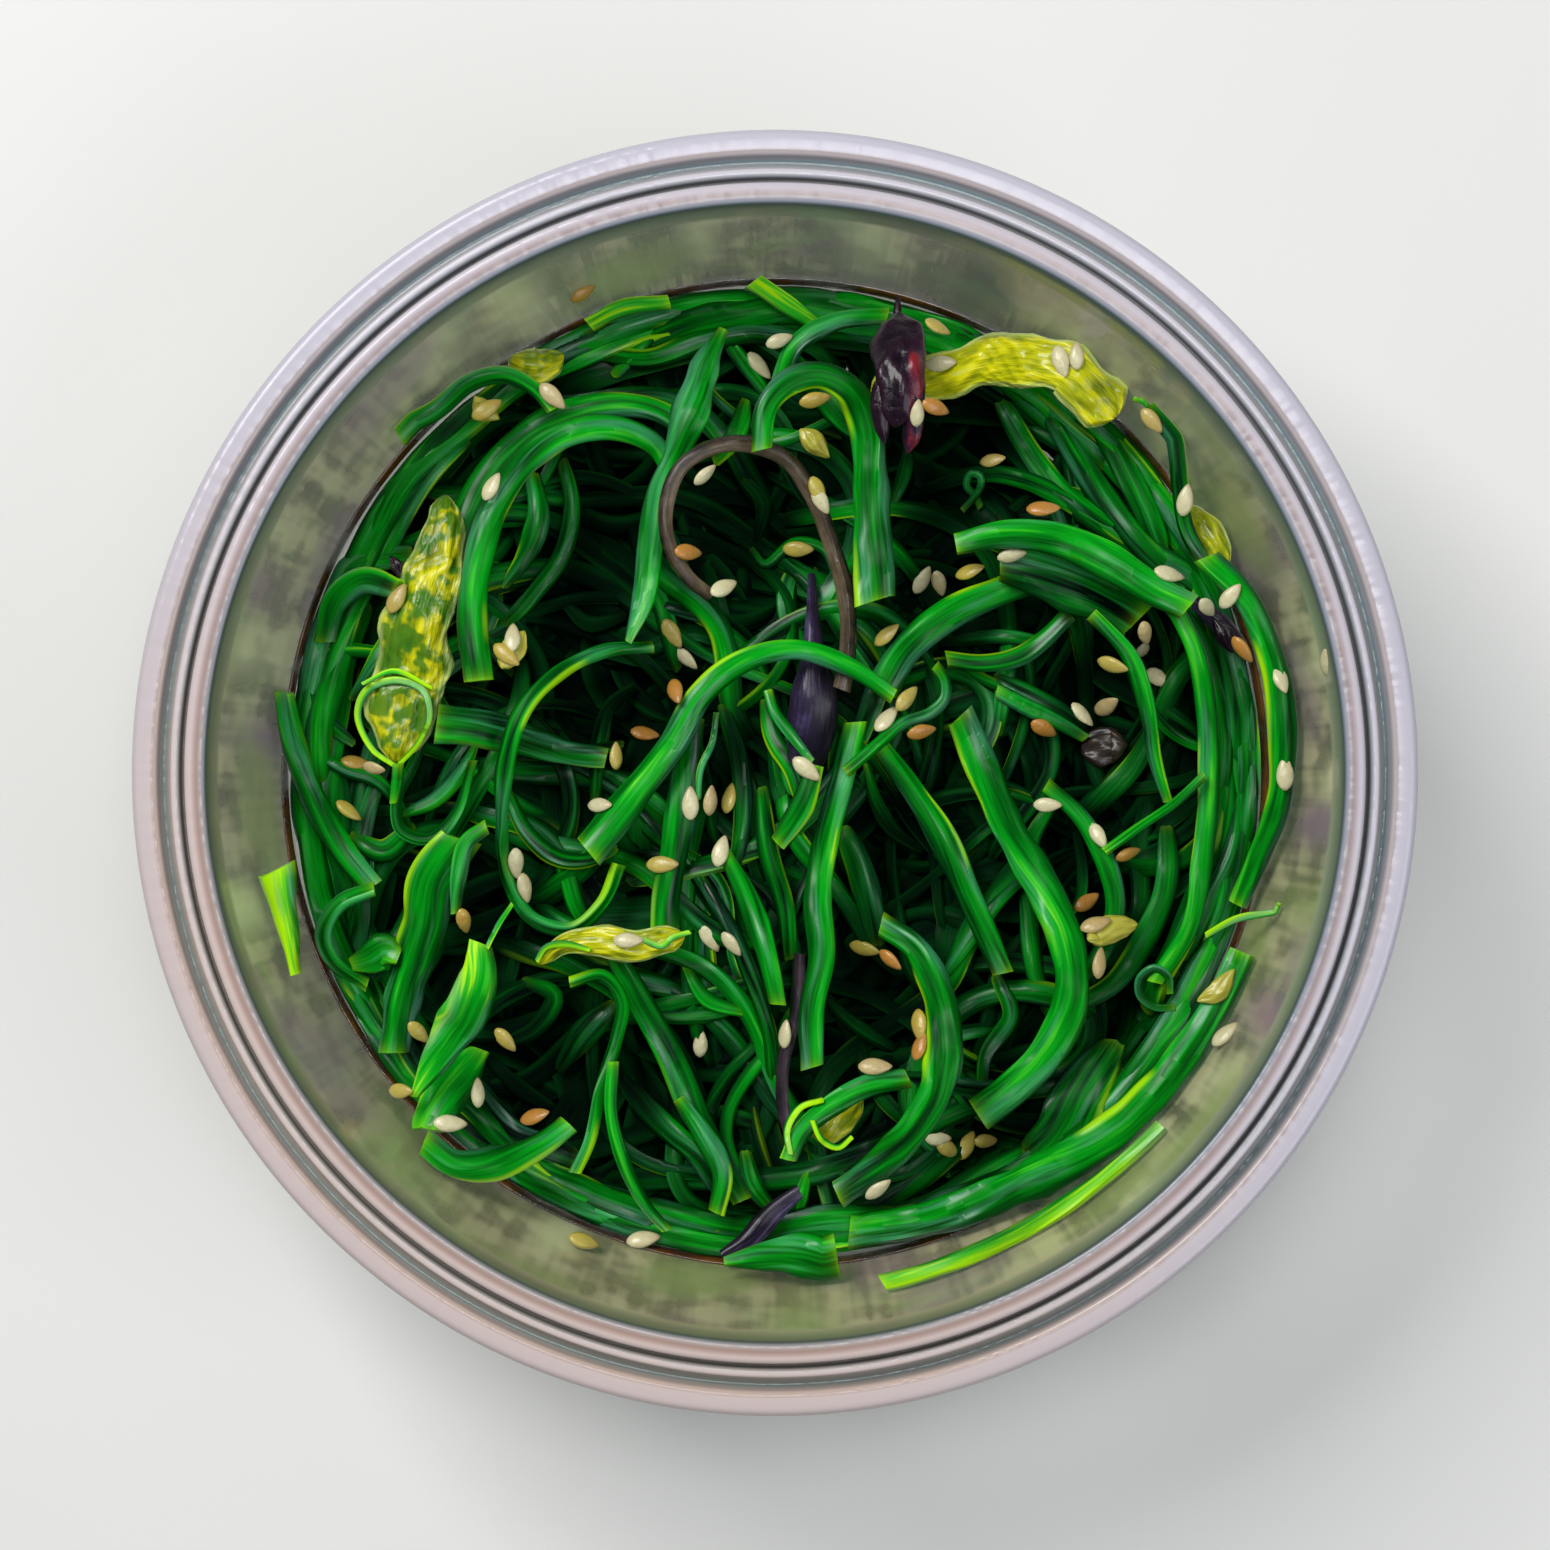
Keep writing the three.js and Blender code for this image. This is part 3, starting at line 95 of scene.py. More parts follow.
# Strips of the bed: widths at even stations in pixels, tone, route in pixels
BED_STRIPS = [
    [[24, 30, 26], 0.35, [[455, 435], [410, 472], [375, 520], [352, 575], [335, 620]]],
    [[28, 30, 28], 0.3, [[402, 550], [350, 562], [318, 600], [305, 650], [298, 710]]],
    [[16, 20, 14], 0.35, [[290, 660], [302, 695], [322, 722], [345, 742]]],
    [[28, 36, 30], 0.3, [[640, 335], [700, 312], [765, 302], [830, 292]]],
    [[24, 32, 26], 0.4, [[800, 292], [860, 290], [920, 303], [968, 328]]],
    [[20, 26, 22], 0.15, [[600, 348], [650, 352], [700, 335], [750, 326], [800, 332]]],
    [[22, 26, 24], 0.25, [[1005, 395], [1030, 440], [1065, 488], [1120, 528], [1180, 562], [1222, 592]]],
    [[22, 28, 24], 0.2, [[1050, 400], [1080, 450], [1112, 500], [1150, 545], [1190, 580]]],
    [[22, 28, 24], 0.25, [[1095, 405], [1122, 450], [1148, 500], [1170, 548]]],
    [[16, 20, 18], 0.15, [[930, 482], [985, 468], [1035, 478], [1090, 508], [1150, 545]]],
    [[20, 24, 20], 0.2, [[1130, 560], [1185, 610], [1215, 670], [1228, 740], [1225, 810]]],
    [[22, 26, 22], 0.3, [[1175, 830], [1172, 890], [1152, 940], [1122, 985], [1085, 1008]]],
    [[40, 60, 44], 0.2, [[1118, 1050], [1088, 1095], [1062, 1138], [1035, 1162]]],
    [[20, 26, 22], 0.35, [[455, 1160], [510, 1190], [570, 1222], [630, 1245]]],
    [[20, 26, 20], 0.3, [[560, 1205], [620, 1232], [690, 1262], [750, 1275], [800, 1272]]],
    [[30, 38, 30], 0.25, [[860, 1255], [930, 1252], [1000, 1235], [1060, 1205]]],
    [[14, 18, 14], 0.1, [[592, 800], [596, 745], [606, 705], [628, 685]]],
    [[16, 20, 16], 0.25, [[558, 455], [568, 500], [558, 550], [530, 590], [500, 622]]],
    [[18, 20, 16], 0.1, [[722, 705], [738, 760], [742, 820], [735, 870]]],
    [[14, 18, 14], 0.05, [[700, 880], [730, 930], [755, 990], [770, 1040], [772, 1085]]],
    [[18, 22, 18], 0.15, [[762, 790], [768, 850], [785, 910], [790, 960]]],
    [[24, 30, 26], 0.25, [[845, 830], [862, 872], [873, 912], [880, 945]]],
    [[14, 18, 12], 0.2, [[742, 470], [762, 498], [756, 532]]],
    [[22, 26, 22], 0.15, [[620, 1090], [660, 1130], [700, 1165], [722, 1202]]],
    [[20, 30, 22], 0.15, [[555, 1075], [580, 1040], [612, 1008]]],
    [[14, 18, 14], 0.15, [[1000, 675], [1040, 695], [1075, 715], [1098, 738]]],
    [[12, 16, 12], 0.2, [[945, 640], [1000, 634], [1055, 640]]],
    [[20, 26, 20], 0.3, [[345, 838], [378, 852], [405, 828]]],
    [[14, 18, 14], 0.1, [[480, 1066], [512, 1096], [548, 1118]]],
    [[12, 15, 12], 0.3, [[308, 752], [338, 770], [372, 782], [392, 805], [402, 832]]],
    [[12, 16, 12], 0.1, [[528, 748], [575, 752], [618, 744]]],
    [[20, 25, 14], 0.35, [[528, 470], [535, 512], [520, 555], [500, 582]]],
    [[12, 15, 12], 0.3, [[914, 432], [906, 470], [893, 502]]],
    [[10, 17, 12], 0.25, [[868, 765], [878, 802], [895, 830], [924, 852]]],
    [[14, 16, 14], 0.25, [[826, 1003], [856, 1030], [900, 1058]]],
    [[14, 18, 14], 0.75, [[340, 1008], [357, 1050], [382, 1090], [404, 1122]]],
    [[16, 22, 16], 0.25, [[520, 985], [550, 1000], [530, 1035], [500, 1050]]],
    [[14, 20, 14], 0.25, [[1060, 800], [1035, 850], [1060, 900], [1062, 940]]],
    [[16, 22, 16], 0.3, [[1250, 780], [1240, 850], [1215, 905], [1190, 960]]],
    [[16, 20, 16], 0.15, [[1000, 980], [1015, 1020], [990, 1060], [985, 1090]]],
    [[18, 22, 18], 0.4, [[745, 395], [735, 430], [715, 455]]],
    [[14, 18, 14], 0.25, [[560, 600], [585, 620], [620, 612]]],
    [[18, 24, 18], 0.35, [[745, 1160], [752, 1190], [770, 1215]]],
    [[15, 17, 14], 0.45, [[283, 668], [305, 652], [340, 648], [385, 652]]],
    [[18, 17, 10], 0.45, [[398, 608], [375, 650], [345, 697]]],
    [[14, 17, 12], 0.45, [[395, 815], [430, 800], [458, 770], [470, 745]]],
    [[14, 19, 14], 0.3, [[502, 790], [522, 832], [552, 858], [582, 862], [612, 850]]],
    [[16, 15, 12], 0.55, [[613, 368], [635, 345], [662, 312]]],
    [[14, 19, 16], 0.45, [[722, 328], [742, 355], [768, 388]]],
    [[11, 12, 9], 0.3, [[1132, 650], [1152, 700], [1180, 733], [1215, 748], [1250, 738]]],
    [[9, 13, 10], 0.75, [[1083, 830], [1090, 870], [1085, 905], [1068, 922]]],
    [[16, 21, 16], 0.3, [[765, 700], [772, 735], [792, 770], [800, 800]]],
    [[12, 17, 14], 0.5, [[685, 970], [705, 1002], [742, 1016]]],
    [[14, 18, 12], 0.55, [[808, 1180], [800, 1205], [797, 1228]]],
    [[10, 13, 10], 0.45, [[752, 545], [765, 560], [795, 538], [825, 545], [838, 575]]],
]

# Pieces on top, one for each node of the frame: name, kind, widths, tone, route. Tone is how light a strip is,
# how brown wood ear is, and how yellow jelly is where strips don't show through it
TOP_PIECES = [
    ["jelly_bar", "jelly", [40, 46, 52], 1.0,
        [[872, 390], [928, 378], [982, 362], [1022, 361], [1065, 373], [1104, 386], [1134, 398]]],
    ["jelly_wall", "jelly", [22, 34, 22], 0.7, [[1180, 505], [1205, 535], [1226, 566]]],
    ["jelly_top", "jelly", [22, 34, 22], 0.6, [[508, 358], [535, 366], [562, 352]]],
    ["wood_ear_deep", "wood_ear", [8, 12, 22, 46, 54, 40], 0,
        [[812, 572], [813, 612], [814, 655], [815, 692], [812, 728], [806, 760]]],
    ["wood_ear_low", "wood_ear", [14, 24, 14], 0, [[800, 1195], [775, 1215], [748, 1243], [722, 1260]]],
    ["wood_ear_rim", "wood_ear", [14, 22, 14], 0, [[1198, 600], [1222, 620], [1248, 648]]],
    ["thread_loop", "strip", [10, 11, 9], 0.45,
        [[425, 722], [408, 765], [392, 800], [396, 830], [425, 840], [452, 815], [470, 760]]],
    ["left_long_band", "strip", [22, 27, 24], 0.5,
        [[285, 692], [292, 745], [310, 800], [338, 850], [368, 888]]],
    ["outer_arch", "strip", [22, 26, 28, 28, 22], 0.5,
        [[690, 434], [662, 410], [615, 401], [560, 410], [515, 438], [480, 478], [458, 525], [450, 560]]],
    ["jelly_roll", "jelly", [20, 40, 52, 60, 66, 70, 60, 24], 0.35,
        [[445, 494], [438, 552], [421, 612], [406, 680], [393, 762]]],
    ["hook_block", "strip", [42, 34, 20], 0.35,
        [[438, 724], [478, 728], [520, 738], [565, 752], [605, 758]]],
    ["vertical_mid", "strip", [30, 31, 28], 0.3,
        [[690, 715], [684, 780], [674, 850], [665, 900], [664, 935]]],
    ["big_c", "strip", [20, 20, 18], 0.35,
        [[652, 646], [605, 650], [560, 672], [525, 710], [508, 760], [502, 820], [506, 880], [530, 920],
         [570, 930], [600, 905], [618, 865]]],
    ["curl_left_top", "strip", [20, 20, 14], 0.55,
        [[393, 432], [435, 412], [470, 385], [505, 377], [535, 390], [555, 412]]],
    ["inner_arch", "strip", [18, 28, 30, 30, 32], 0.55,
        [[674, 478], [655, 445], [615, 430], [565, 438], [525, 465], [498, 505], [482, 550], [474, 610],
         [482, 682]]],
    ["top_left_lime", "strip", [16, 18, 14], 0.85, [[588, 322], [622, 305], [668, 298]]],
    ["top_lime_end", "strip", [20, 20, 14], 0.75, [[753, 280], [785, 300], [818, 322]]],
    ["top_arc", "strip", [18, 22, 16], 0.5, [[778, 385], [795, 345], [835, 320], [888, 312]]],
    ["tall_left", "strip", [10, 32, 38, 22, 24, 27, 24, 8], 0.55,
        [[723, 328], [706, 362], [694, 405], [678, 450], [660, 490], [650, 545], [644, 595], [628, 642]]],
    ["wood_ear_curl", "wood_ear", [14, 17, 18], 1,
        [[712, 598], [688, 578], [670, 545], [668, 508], [682, 472], [712, 452], [748, 447], [785, 460],
         [812, 495], [832, 545], [846, 595], [848, 645], [842, 690]]],
    ["hairpin", "strip", [20, 34, 42], 0.5,
        [[762, 455], [766, 415], [788, 388], [820, 380], [850, 395], [866, 430], [870, 480], [872, 540],
         [874, 602]]],
    ["chilli", "chilli", [18, 57, 20], 0, [[898, 300], [899, 345], [898, 400], [904, 455]]],
    ["right_leaf", "strip", [18, 20, 18], 0.35,
        [[948, 658], [985, 662], [1022, 655], [1050, 635], [1072, 612]]],
    ["right_arch", "strip", [32, 34, 26], 0.45,
        [[882, 690], [908, 648], [952, 612], [1000, 590], [1045, 574]]],
    ["paddle_under", "strip", [40, 56, 50], 0.35, [[1000, 562], [1050, 575], [1100, 598], [1138, 620]]],
    ["wall_teal", "strip", [16, 19, 14], 0.3,
        [[1150, 405], [1168, 440], [1176, 490], [1182, 530], [1200, 565]]],
    ["right_outer", "strip", [24, 30, 20], 0.5,
        [[1200, 560], [1242, 605], [1266, 665], [1276, 735], [1274, 800], [1258, 860], [1240, 905]]],
    ["right_inner_long", "strip", [18, 23, 18], 0.6,
        [[1170, 600], [1197, 655], [1210, 720], [1213, 790], [1207, 860], [1193, 930], [1160, 985]]],
    ["paddle", "strip", [22, 38, 30], 0.55,
        [[955, 545], [1005, 535], [1055, 540], [1105, 562], [1150, 590], [1186, 608]]],
    ["right_edge_blue", "strip", [14, 19, 10], 0.5,
        [[1090, 615], [1128, 655], [1148, 708], [1158, 758], [1172, 802]]],
    ["right_inner_arc", "strip", [16, 22, 18], 0.4,
        [[1048, 785], [1085, 820], [1110, 865], [1119, 910], [1105, 955], [1078, 985]]],
    ["thin_thread", "strip", [9, 10, 9], 0.6, [[1207, 775], [1175, 805], [1140, 828], [1106, 852]]],
    ["long_right_inner", "strip", [20, 30, 22], 0.4,
        [[880, 745], [915, 792], [945, 840], [970, 895], [990, 940], [1005, 975]]],
    ["long_right_outer", "strip", [32, 38, 36], 0.5,
        [[962, 715], [985, 770], [1015, 835], [1048, 895], [1070, 955], [1070, 1010], [1045, 1060],
         [1010, 1095], [980, 1118]]],
    ["wood_ear_thin", "wood_ear", [12, 14, 12], 0.3,
        [[800, 955], [798, 1010], [784, 1062], [783, 1110], [790, 1140]]],
    ["trunk", "strip", [22, 29, 24], 0.5,
        [[856, 722], [842, 780], [826, 840], [818, 900], [822, 955], [812, 1010], [812, 1068]]],
    ["centre_leaf", "strip", [18, 25, 18], 0.5, [[815, 765], [802, 805], [778, 843]]],
    ["centre_long_green", "strip", [14, 26, 16], 0.5, [[725, 855], [747, 898], [765, 948], [778, 1005]]],
    ["jelly_knot", "jelly", [26, 38, 26], 0.8, [[862, 1096], [838, 1118], [812, 1138]]],
    ["green_grey_arc", "strip", [20, 24, 18], 0.45,
        [[908, 1078], [868, 1084], [832, 1104], [802, 1130], [788, 1158]]],
    ["low_right_c", "strip", [24, 40, 28], 0.5,
        [[882, 925], [915, 948], [938, 995], [943, 1045], [933, 1090], [910, 1130], [878, 1165],
         [838, 1195]]],
    ["arch_right", "strip", [12, 13, 11], 0.45,
        [[845, 772], [880, 742], [905, 722], [930, 713], [945, 698], [945, 680], [935, 665]]],
    ["diagonal_long", "strip", [22, 30, 22], 0.35,
        [[612, 955], [640, 1005], [668, 1058], [692, 1112], [720, 1165], [742, 1205]]],
    ["jelly_sprig", "jelly", [12, 30, 26], 0.8,
        [[538, 965], [560, 946], [600, 942], [645, 945], [684, 936]]],
    ["diagonal_side", "strip", [14, 24, 18], 0.45, [[678, 1100], [702, 1135], [722, 1175], [716, 1215]]],
    ["left_column", "strip", [40, 52, 48, 40, 30], 0.4,
        [[462, 838], [434, 878], [424, 925], [405, 985], [390, 1055]]],
    ["left_column_top", "strip", [14, 18, 16, 10], 0.5, [[490, 826], [470, 842], [462, 875], [459, 912]]],
    ["ribbon_loop", "strip", [16, 21, 18], 0.55,
        [[372, 890], [337, 905], [320, 935], [330, 965], [362, 988]]],
    ["leaf_low", "strip", [18, 44, 46, 30], 0.55, [[478, 1052], [458, 1078], [440, 1105], [424, 1135]]],
    ["lime_spear", "strip", [22, 40, 50, 42, 26, 8], 0.8,
        [[485, 940], [484, 970], [470, 1006], [450, 1038], [433, 1066], [417, 1094]]],
    ["lower_hook", "strip", [26, 35, 22], 0.5,
        [[428, 1138], [458, 1160], [500, 1160], [540, 1145], [568, 1125]]],
    ["thin_arc_low", "strip", [12, 14, 12], 0.35,
        [[570, 982], [603, 975], [622, 1000], [616, 1040], [600, 1092], [590, 1140], [575, 1172]]],
    ["thin_vertical_low", "strip", [12, 15, 10], 0.45,
        [[614, 1060], [612, 1110], [624, 1160], [643, 1203], [666, 1232]]],
    ["wall_lime", "strip", [38, 28, 20, 10], 1.05, [[284, 868], [289, 905], [296, 938], [302, 972]]],
    ["sweep_bottom", "strip", [26, 44, 34], 0.55,
        [[1250, 955], [1215, 1015], [1168, 1075], [1110, 1130], [1050, 1170], [985, 1203], [920, 1225],
         [850, 1237]]],
    ["bottom_lime", "strip", [14, 20, 18], 0.95,
        [[1158, 1122], [1110, 1172], [1050, 1220], [985, 1256], [930, 1276], [884, 1289]]],
    ["bottom_block", "strip", [10, 30, 46, 56], 0.5, [[724, 1262], [760, 1257], [800, 1254], [838, 1262]]],
    ["swan_arch", "strip", [16, 26, 36], 0.55,
        [[893, 697], [850, 668], [795, 650], [740, 662], [700, 695], [672, 745], [632, 797], [588, 852]]],
]

# Sesame seeds: pixel, direction in degrees and hue, from cream at 0 by tan and yellow to orange at 1
SESAME = [
    [493, 490, 60, 0], [553, 398, -45, 0.5], [758, 358, -40, 0], [778, 340, 20, 0.2],
    [817, 490, -65, 0.8], [688, 555, 0, 1], [723, 590, 30, 0.3], [797, 545, 0, 0.8],
    [813, 405, 0, 0.85], [935, 330, -10, 0.8], [940, 362, 0, 0], [1057, 365, -75, 0],
    [1073, 362, 90, 0.2], [915, 420, 90, 0.1], [925, 577, 70, 0], [943, 577, -70, 0.5],
    [1010, 556, 10, 0], [970, 570, 0, 0.8], [1145, 425, -50, 0.7], [995, 455, 0, 0.8],
    [1040, 510, 0, 1], [1203, 608, -45, 0], [1165, 575, 0, 0], [1145, 632, -60, 0.5],
    [1155, 645, 40, 0], [1165, 675, -30, 0], [1110, 665, 0, 0.8], [1047, 727, -40, 1],
    [1088, 712, -40, 0], [1115, 705, 40, 0.5], [1048, 805, 0, 0], [1100, 835, -60, 0.3],
    [1235, 650, -60, 1], [1272, 680, -75, 0.1], [1278, 775, 90, 0], [1130, 855, 0, 1],
    [1095, 925, 20, 0.6], [1100, 965, 80, 0.5], [885, 720, 60, 0.3], [920, 732, 0, 1],
    [886, 635, 30, 0.8], [805, 768, -40, 0], [675, 690, -60, 1], [683, 655, -50, 0.1],
    [640, 732, 0, 1], [615, 757, 90, 0.8], [598, 805, -10, 0], [690, 805, 90, 0.1],
    [710, 802, 90, 0.5], [728, 800, 90, 0.8], [720, 853, 75, 0.2], [660, 865, 0, 0.8],
    [708, 938, -60, 0], [627, 940, 0, 0.3], [515, 862, -80, 0.2], [467, 918, -70, 1],
    [348, 762, 0, 1], [397, 600, 60, 0.7], [515, 640, 90, 0], [415, 1033, -45, 0.8],
    [403, 1088, 0, 0.8], [477, 1095, 90, 0.1], [450, 1122, 0, 0], [353, 1135, 30, 0.1],
    [699, 1050, 90, 0], [865, 952, 0, 0.9], [890, 960, -30, 1], [918, 1022, -75, 0.95],
    [873, 1065, 0, 0.5], [940, 1145, 0, 0.2], [970, 1155, 60, 0.8], [990, 1150, 0, 0.8],
    [877, 1190, 45, 0.1], [1220, 1033, 40, 0], [705, 480, 40, 0], [583, 297, 20, 1],
    [932, 412, -20, 1], [1180, 505, 80, 0], [820, 500, -60, 0.1], [523, 887, -70, 0.5],
    [343, 810, -30, 0.8], [372, 768, 10, 0.5], [508, 655, -40, 0.9], [533, 1117, 0, 1],
    [498, 1045, -50, 0.8], [785, 1037, 80, 0], [918, 1045, 80, 1], [950, 1155, -30, 0.8],
    [583, 1240, 0, 0.8], [487, 412, 30, 0.8], [1310, 668, 85, 0.3], [670, 630, -60, 0.8],
    [730, 945, -50, 0.1], [1222, 600, 50, 0.2], [905, 700, 40, 0.8], [1092, 905, 30, 0.95],
    [640, 1245, 10, 0.4],
]


# Painted reflections: marks that the wall mirrors above the salad, by their tint: pixel, size in millimetres
# and strength
WALL_MARKS = {
    "pale_tint": [
        (870, 236, 4.0, 0.6), (700, 240, 2.4, 0.5), (520, 305, 3.2, 0.7), (440, 335, 3.6, 0.6),
        (1090, 325, 4.5, 0.6), (1190, 420, 3.4, 0.5), (1308, 668, 1.6, 0.8), (1335, 790, 2.4, 0.8),
        (1230, 1085, 3.0, 0.5), (1150, 1190, 4.0, 0.5), (560, 1228, 2.6, 0.5), (250, 905, 2.6, 0.8),
        (245, 650, 3.0, 0.6),
    ],
    "dark_tint": [
        (985, 275, 4.2, 0.85), (815, 240, 3.0, 0.5), (655, 250, 2.0, 0.5), (560, 275, 2.0, 0.5),
        (945, 1310, 3.2, 0.5), (740, 1328, 2.0, 0.5),
    ],
    "purple_tint": [
        (1252, 560, 3.0, 0.7), (1312, 825, 2.4, 0.9), (1268, 1012, 3.0, 0.9), (330, 1050, 3.4, 0.5),
        (268, 742, 2.4, 0.9), (262, 590, 3.0, 0.6),
    ],
    "green_tint": [
        (1295, 905, 2.2, 0.5), (800, 1322, 3.6, 0.7), (400, 1160, 5.0, 0.6),
    ],
}

# Small bits on top: kind, widths, tone, route
BITS = [
    ["brown", [34, 44, 36], 1.0, [[1088, 752], [1108, 746], [1132, 744]]],
    ["red", [12, 20, 12], 0, [[1216, 618], [1228, 634], [1236, 652]]],
    ["red", [10, 14, 8], 0, [[390, 556], [397, 566], [400, 578]]],
    ["jelly", [16, 26, 14], 1, [[800, 424], [815, 438], [830, 452]]],
    ["jelly", [18, 30, 20], 1, [[1088, 940], [1112, 930], [1140, 925]]],
    ["jelly", [16, 26, 18], 1, [[505, 668], [515, 650], [526, 632]]],
    ["jelly", [10, 22, 12], 1, [[476, 398], [486, 412], [500, 420]]],
    ["jelly", [12, 22, 10], 1, [[1195, 1000], [1215, 990], [1232, 968]]],
    ["strip", [5, 6, 4], 0.6, [[1128, 404], [1142, 408], [1153, 399], [1153, 386]]],
    ["strip", [8, 8, 7], 0.55,
        [[985, 502], [979, 490], [970, 480], [974, 468], [984, 471], [984, 482], [976, 494], [966, 505]]],
    ["strip", [8, 9, 8], 0.35,
        [[1180, 1010], [1160, 1010], [1145, 998], [1145, 980], [1158, 970], [1172, 978], [1174, 996]]],
    ["strip", [14, 30, 40, 16], 0.6, [[347, 966], [366, 960], [384, 952], [397, 958]]],
    ["strip", [6, 8, 5], 1.0, [[1205, 935], [1235, 918], [1265, 912], [1292, 906]]],
    ["strip", [5, 6, 4], 0.75, [[492, 945], [503, 922], [516, 902]]],
    ["strip", [5, 7, 8, 8, 7, 6, 5], 1.0,
        [[394, 766], [370, 748], [356, 715], [366, 690], [395, 680], [422, 690], [430, 716], [419, 742],
         [399, 764]]],
    ["strip", [4, 6, 4], 0.9, [[362, 684], [394, 671], [432, 688]]],
    ["strip", [12, 12, 8], 0.55, [[398, 764], [396, 782], [392, 803]]],
    ["strip", [6, 8, 6], 1.0, [[790, 1152], [787, 1128], [800, 1106], [822, 1098]]],
    ["strip", [5, 7, 5], 1.0, [[812, 1118], [822, 1138], [838, 1146], [852, 1136]]],
    ["strip", [5, 8, 5], 0.95, [[536, 962], [545, 948], [565, 944], [590, 950]]],
    ["strip", [5, 7, 5], 0.95, [[640, 938], [662, 946], [672, 938], [690, 932]]],
    ["strip", [10, 12, 8], 0.6, [[768, 690], [775, 712], [792, 736], [812, 762]]],
    ["strip", [14, 18, 10], 0.5, [[1000, 690], [1030, 706], [1068, 724], [1092, 738]]],
    ["strip", [6, 8, 6], 0.5, [[698, 800], [700, 770], [712, 742], [716, 712]]],
    ["strip", [22, 30, 22], 0.35, [[320, 640], [332, 600], [362, 580], [398, 590]]],
]


def wall_radius(level):
    """Inner radius of the tapered wall at a level: a straight line from the base to the mouth."""
    return BASE_RADIUS + WALL_SLOPE * (level - BASE_LEVEL)


def wall_level(radius):
    """Level at which the wall has an inner radius."""
    return BASE_LEVEL + (radius - BASE_RADIUS) / WALL_SLOPE


def crown_level(x, y):
    """Level of the bed: a low dome, highest in the middle."""
    return BED_TOP + BED_CROWN * (1 - (x**2 + y**2) / MOUTH_RADIUS**2)


def to_mm(pixels):
    """Pixels of the picture as x and y in millimetres at the salad's surface."""
    offset = (np.asarray(pixels, float) - PICTURE_CENTRE) * PICTURE_SCALE
    return offset * [1, -1]


def spline(corners, step):
    """Points a step apart on a centripetal Catmull-Rom curve through the corners."""
    corners = np.asarray(corners, float)
    first, last = 2 * corners[0] - corners[1], 2 * corners[-1] - corners[-2]
    knots = np.vstack([first, corners, last])
    times = np.concatenate([[0], np.cumsum(np.sqrt(np.linalg.norm(np.diff(knots, axis=0), axis=1)))])
    spans = []
    for k in range(1, len(knots) - 2):
        t = np.linspace(times[k], times[k + 1], 24, endpoint=False)[:, None]
        t0, t1, t2, t3 = times[k - 1:k + 3]
        p0, p1, p2, p3 = knots[k - 1:k + 3]
        a1 = (t1 - t) / (t1 - t0) * p0 + (t - t0) / (t1 - t0) * p1
        a2 = (t2 - t) / (t2 - t1) * p1 + (t - t1) / (t2 - t1) * p2
        a3 = (t3 - t) / (t3 - t2) * p2 + (t - t2) / (t3 - t2) * p3
        b1 = (t2 - t) / (t2 - t0) * a1 + (t - t0) / (t2 - t0) * a2
        b2 = (t3 - t) / (t3 - t1) * a2 + (t - t1) / (t3 - t1) * a3
        spans.append((t2 - t) / (t2 - t1) * b1 + (t - t1) / (t2 - t1) * b2)
    dense = np.vstack(spans + [corners[-1:]])
    return respaced(dense, step)


def even_disc(k, radius, first_radius=0.0, first_angle=0.0):
    """Radius and angle of the k-th point of an even filling of a disc."""
    angle = 2 * math.pi * ((k * EVEN_ANGLE + first_angle) % 1.0)
    return radius * math.sqrt((k * EVEN_RADIUS + first_radius) % 1.0), angle


def polar(radius, angle):
    return np.stack([radius * np.cos(angle), radius * np.sin(angle)], axis=-1)


def bent_line(middle, way, length):
    """A line of a length through a middle point whose direction at even stations is given as an angle."""
    moves = polar(1.0, way) * length / len(way)
    return middle + np.cumsum(moves, axis=0) - moves[:len(way) // 2].sum(axis=0)


def respaced(points, step):
    """The same line with its points evenly spaced along it."""
    run = run_of(points)
    count = max(8, int(round(run[-1] / step)))
    marks = np.linspace(0, run[-1], count + 1)
    return np.column_stack([np.interp(marks, run, points[:, k]) for k in range(points.shape[1])])


def run_of(points):
    """Distance along a line at each of its points."""
    return np.concatenate([[0], np.cumsum(np.linalg.norm(np.diff(points, axis=0), axis=1))])


def smoothed(values, run, reach):
    """Values averaged along a line with bell-shaped weights of a reach."""
    weights = np.exp(-0.5 * ((run[:, None] - run[None, :]) / reach) ** 2)
    return weights @ values / weights.sum(axis=1)


def wobble(run, rng, wavelength):
    """A slow wave between about -1 and 1: three sines whose lengths are near the wavelength."""
    lengths = wavelength * np.array([1.0, 0.62, 1.7])
    phases = rng.uniform(0, 2 * math.pi, 3)
    parts = np.sin(2 * math.pi * run[:, None] / lengths + phases) * [0.5, 0.25, 0.35]
    return parts.sum(axis=1)


def widths_at(widths, count):
    """Half widths in millimetres at count points, from pixel widths at even stations."""
    stations = np.linspace(0, 1, len(widths))
    return 0.5 * PICTURE_SCALE * np.interp(np.linspace(0, 1, count), stations, widths)


def tucked(level, run, drop, reach=1.6):
    """Levels that fall away at both ends of a line, as an end that runs under its neighbours does."""
    to_end = np.minimum(run, run[-1] - run)
    return level - drop * np.exp(-to_end / reach)


def narrowed(half, run, share=0.5, reach=1.2):
    """Half widths that narrow by a share at both ends of a line."""
    to_end = np.minimum(run, run[-1] - run)
    return half * (1 - share * np.exp(-to_end / reach))


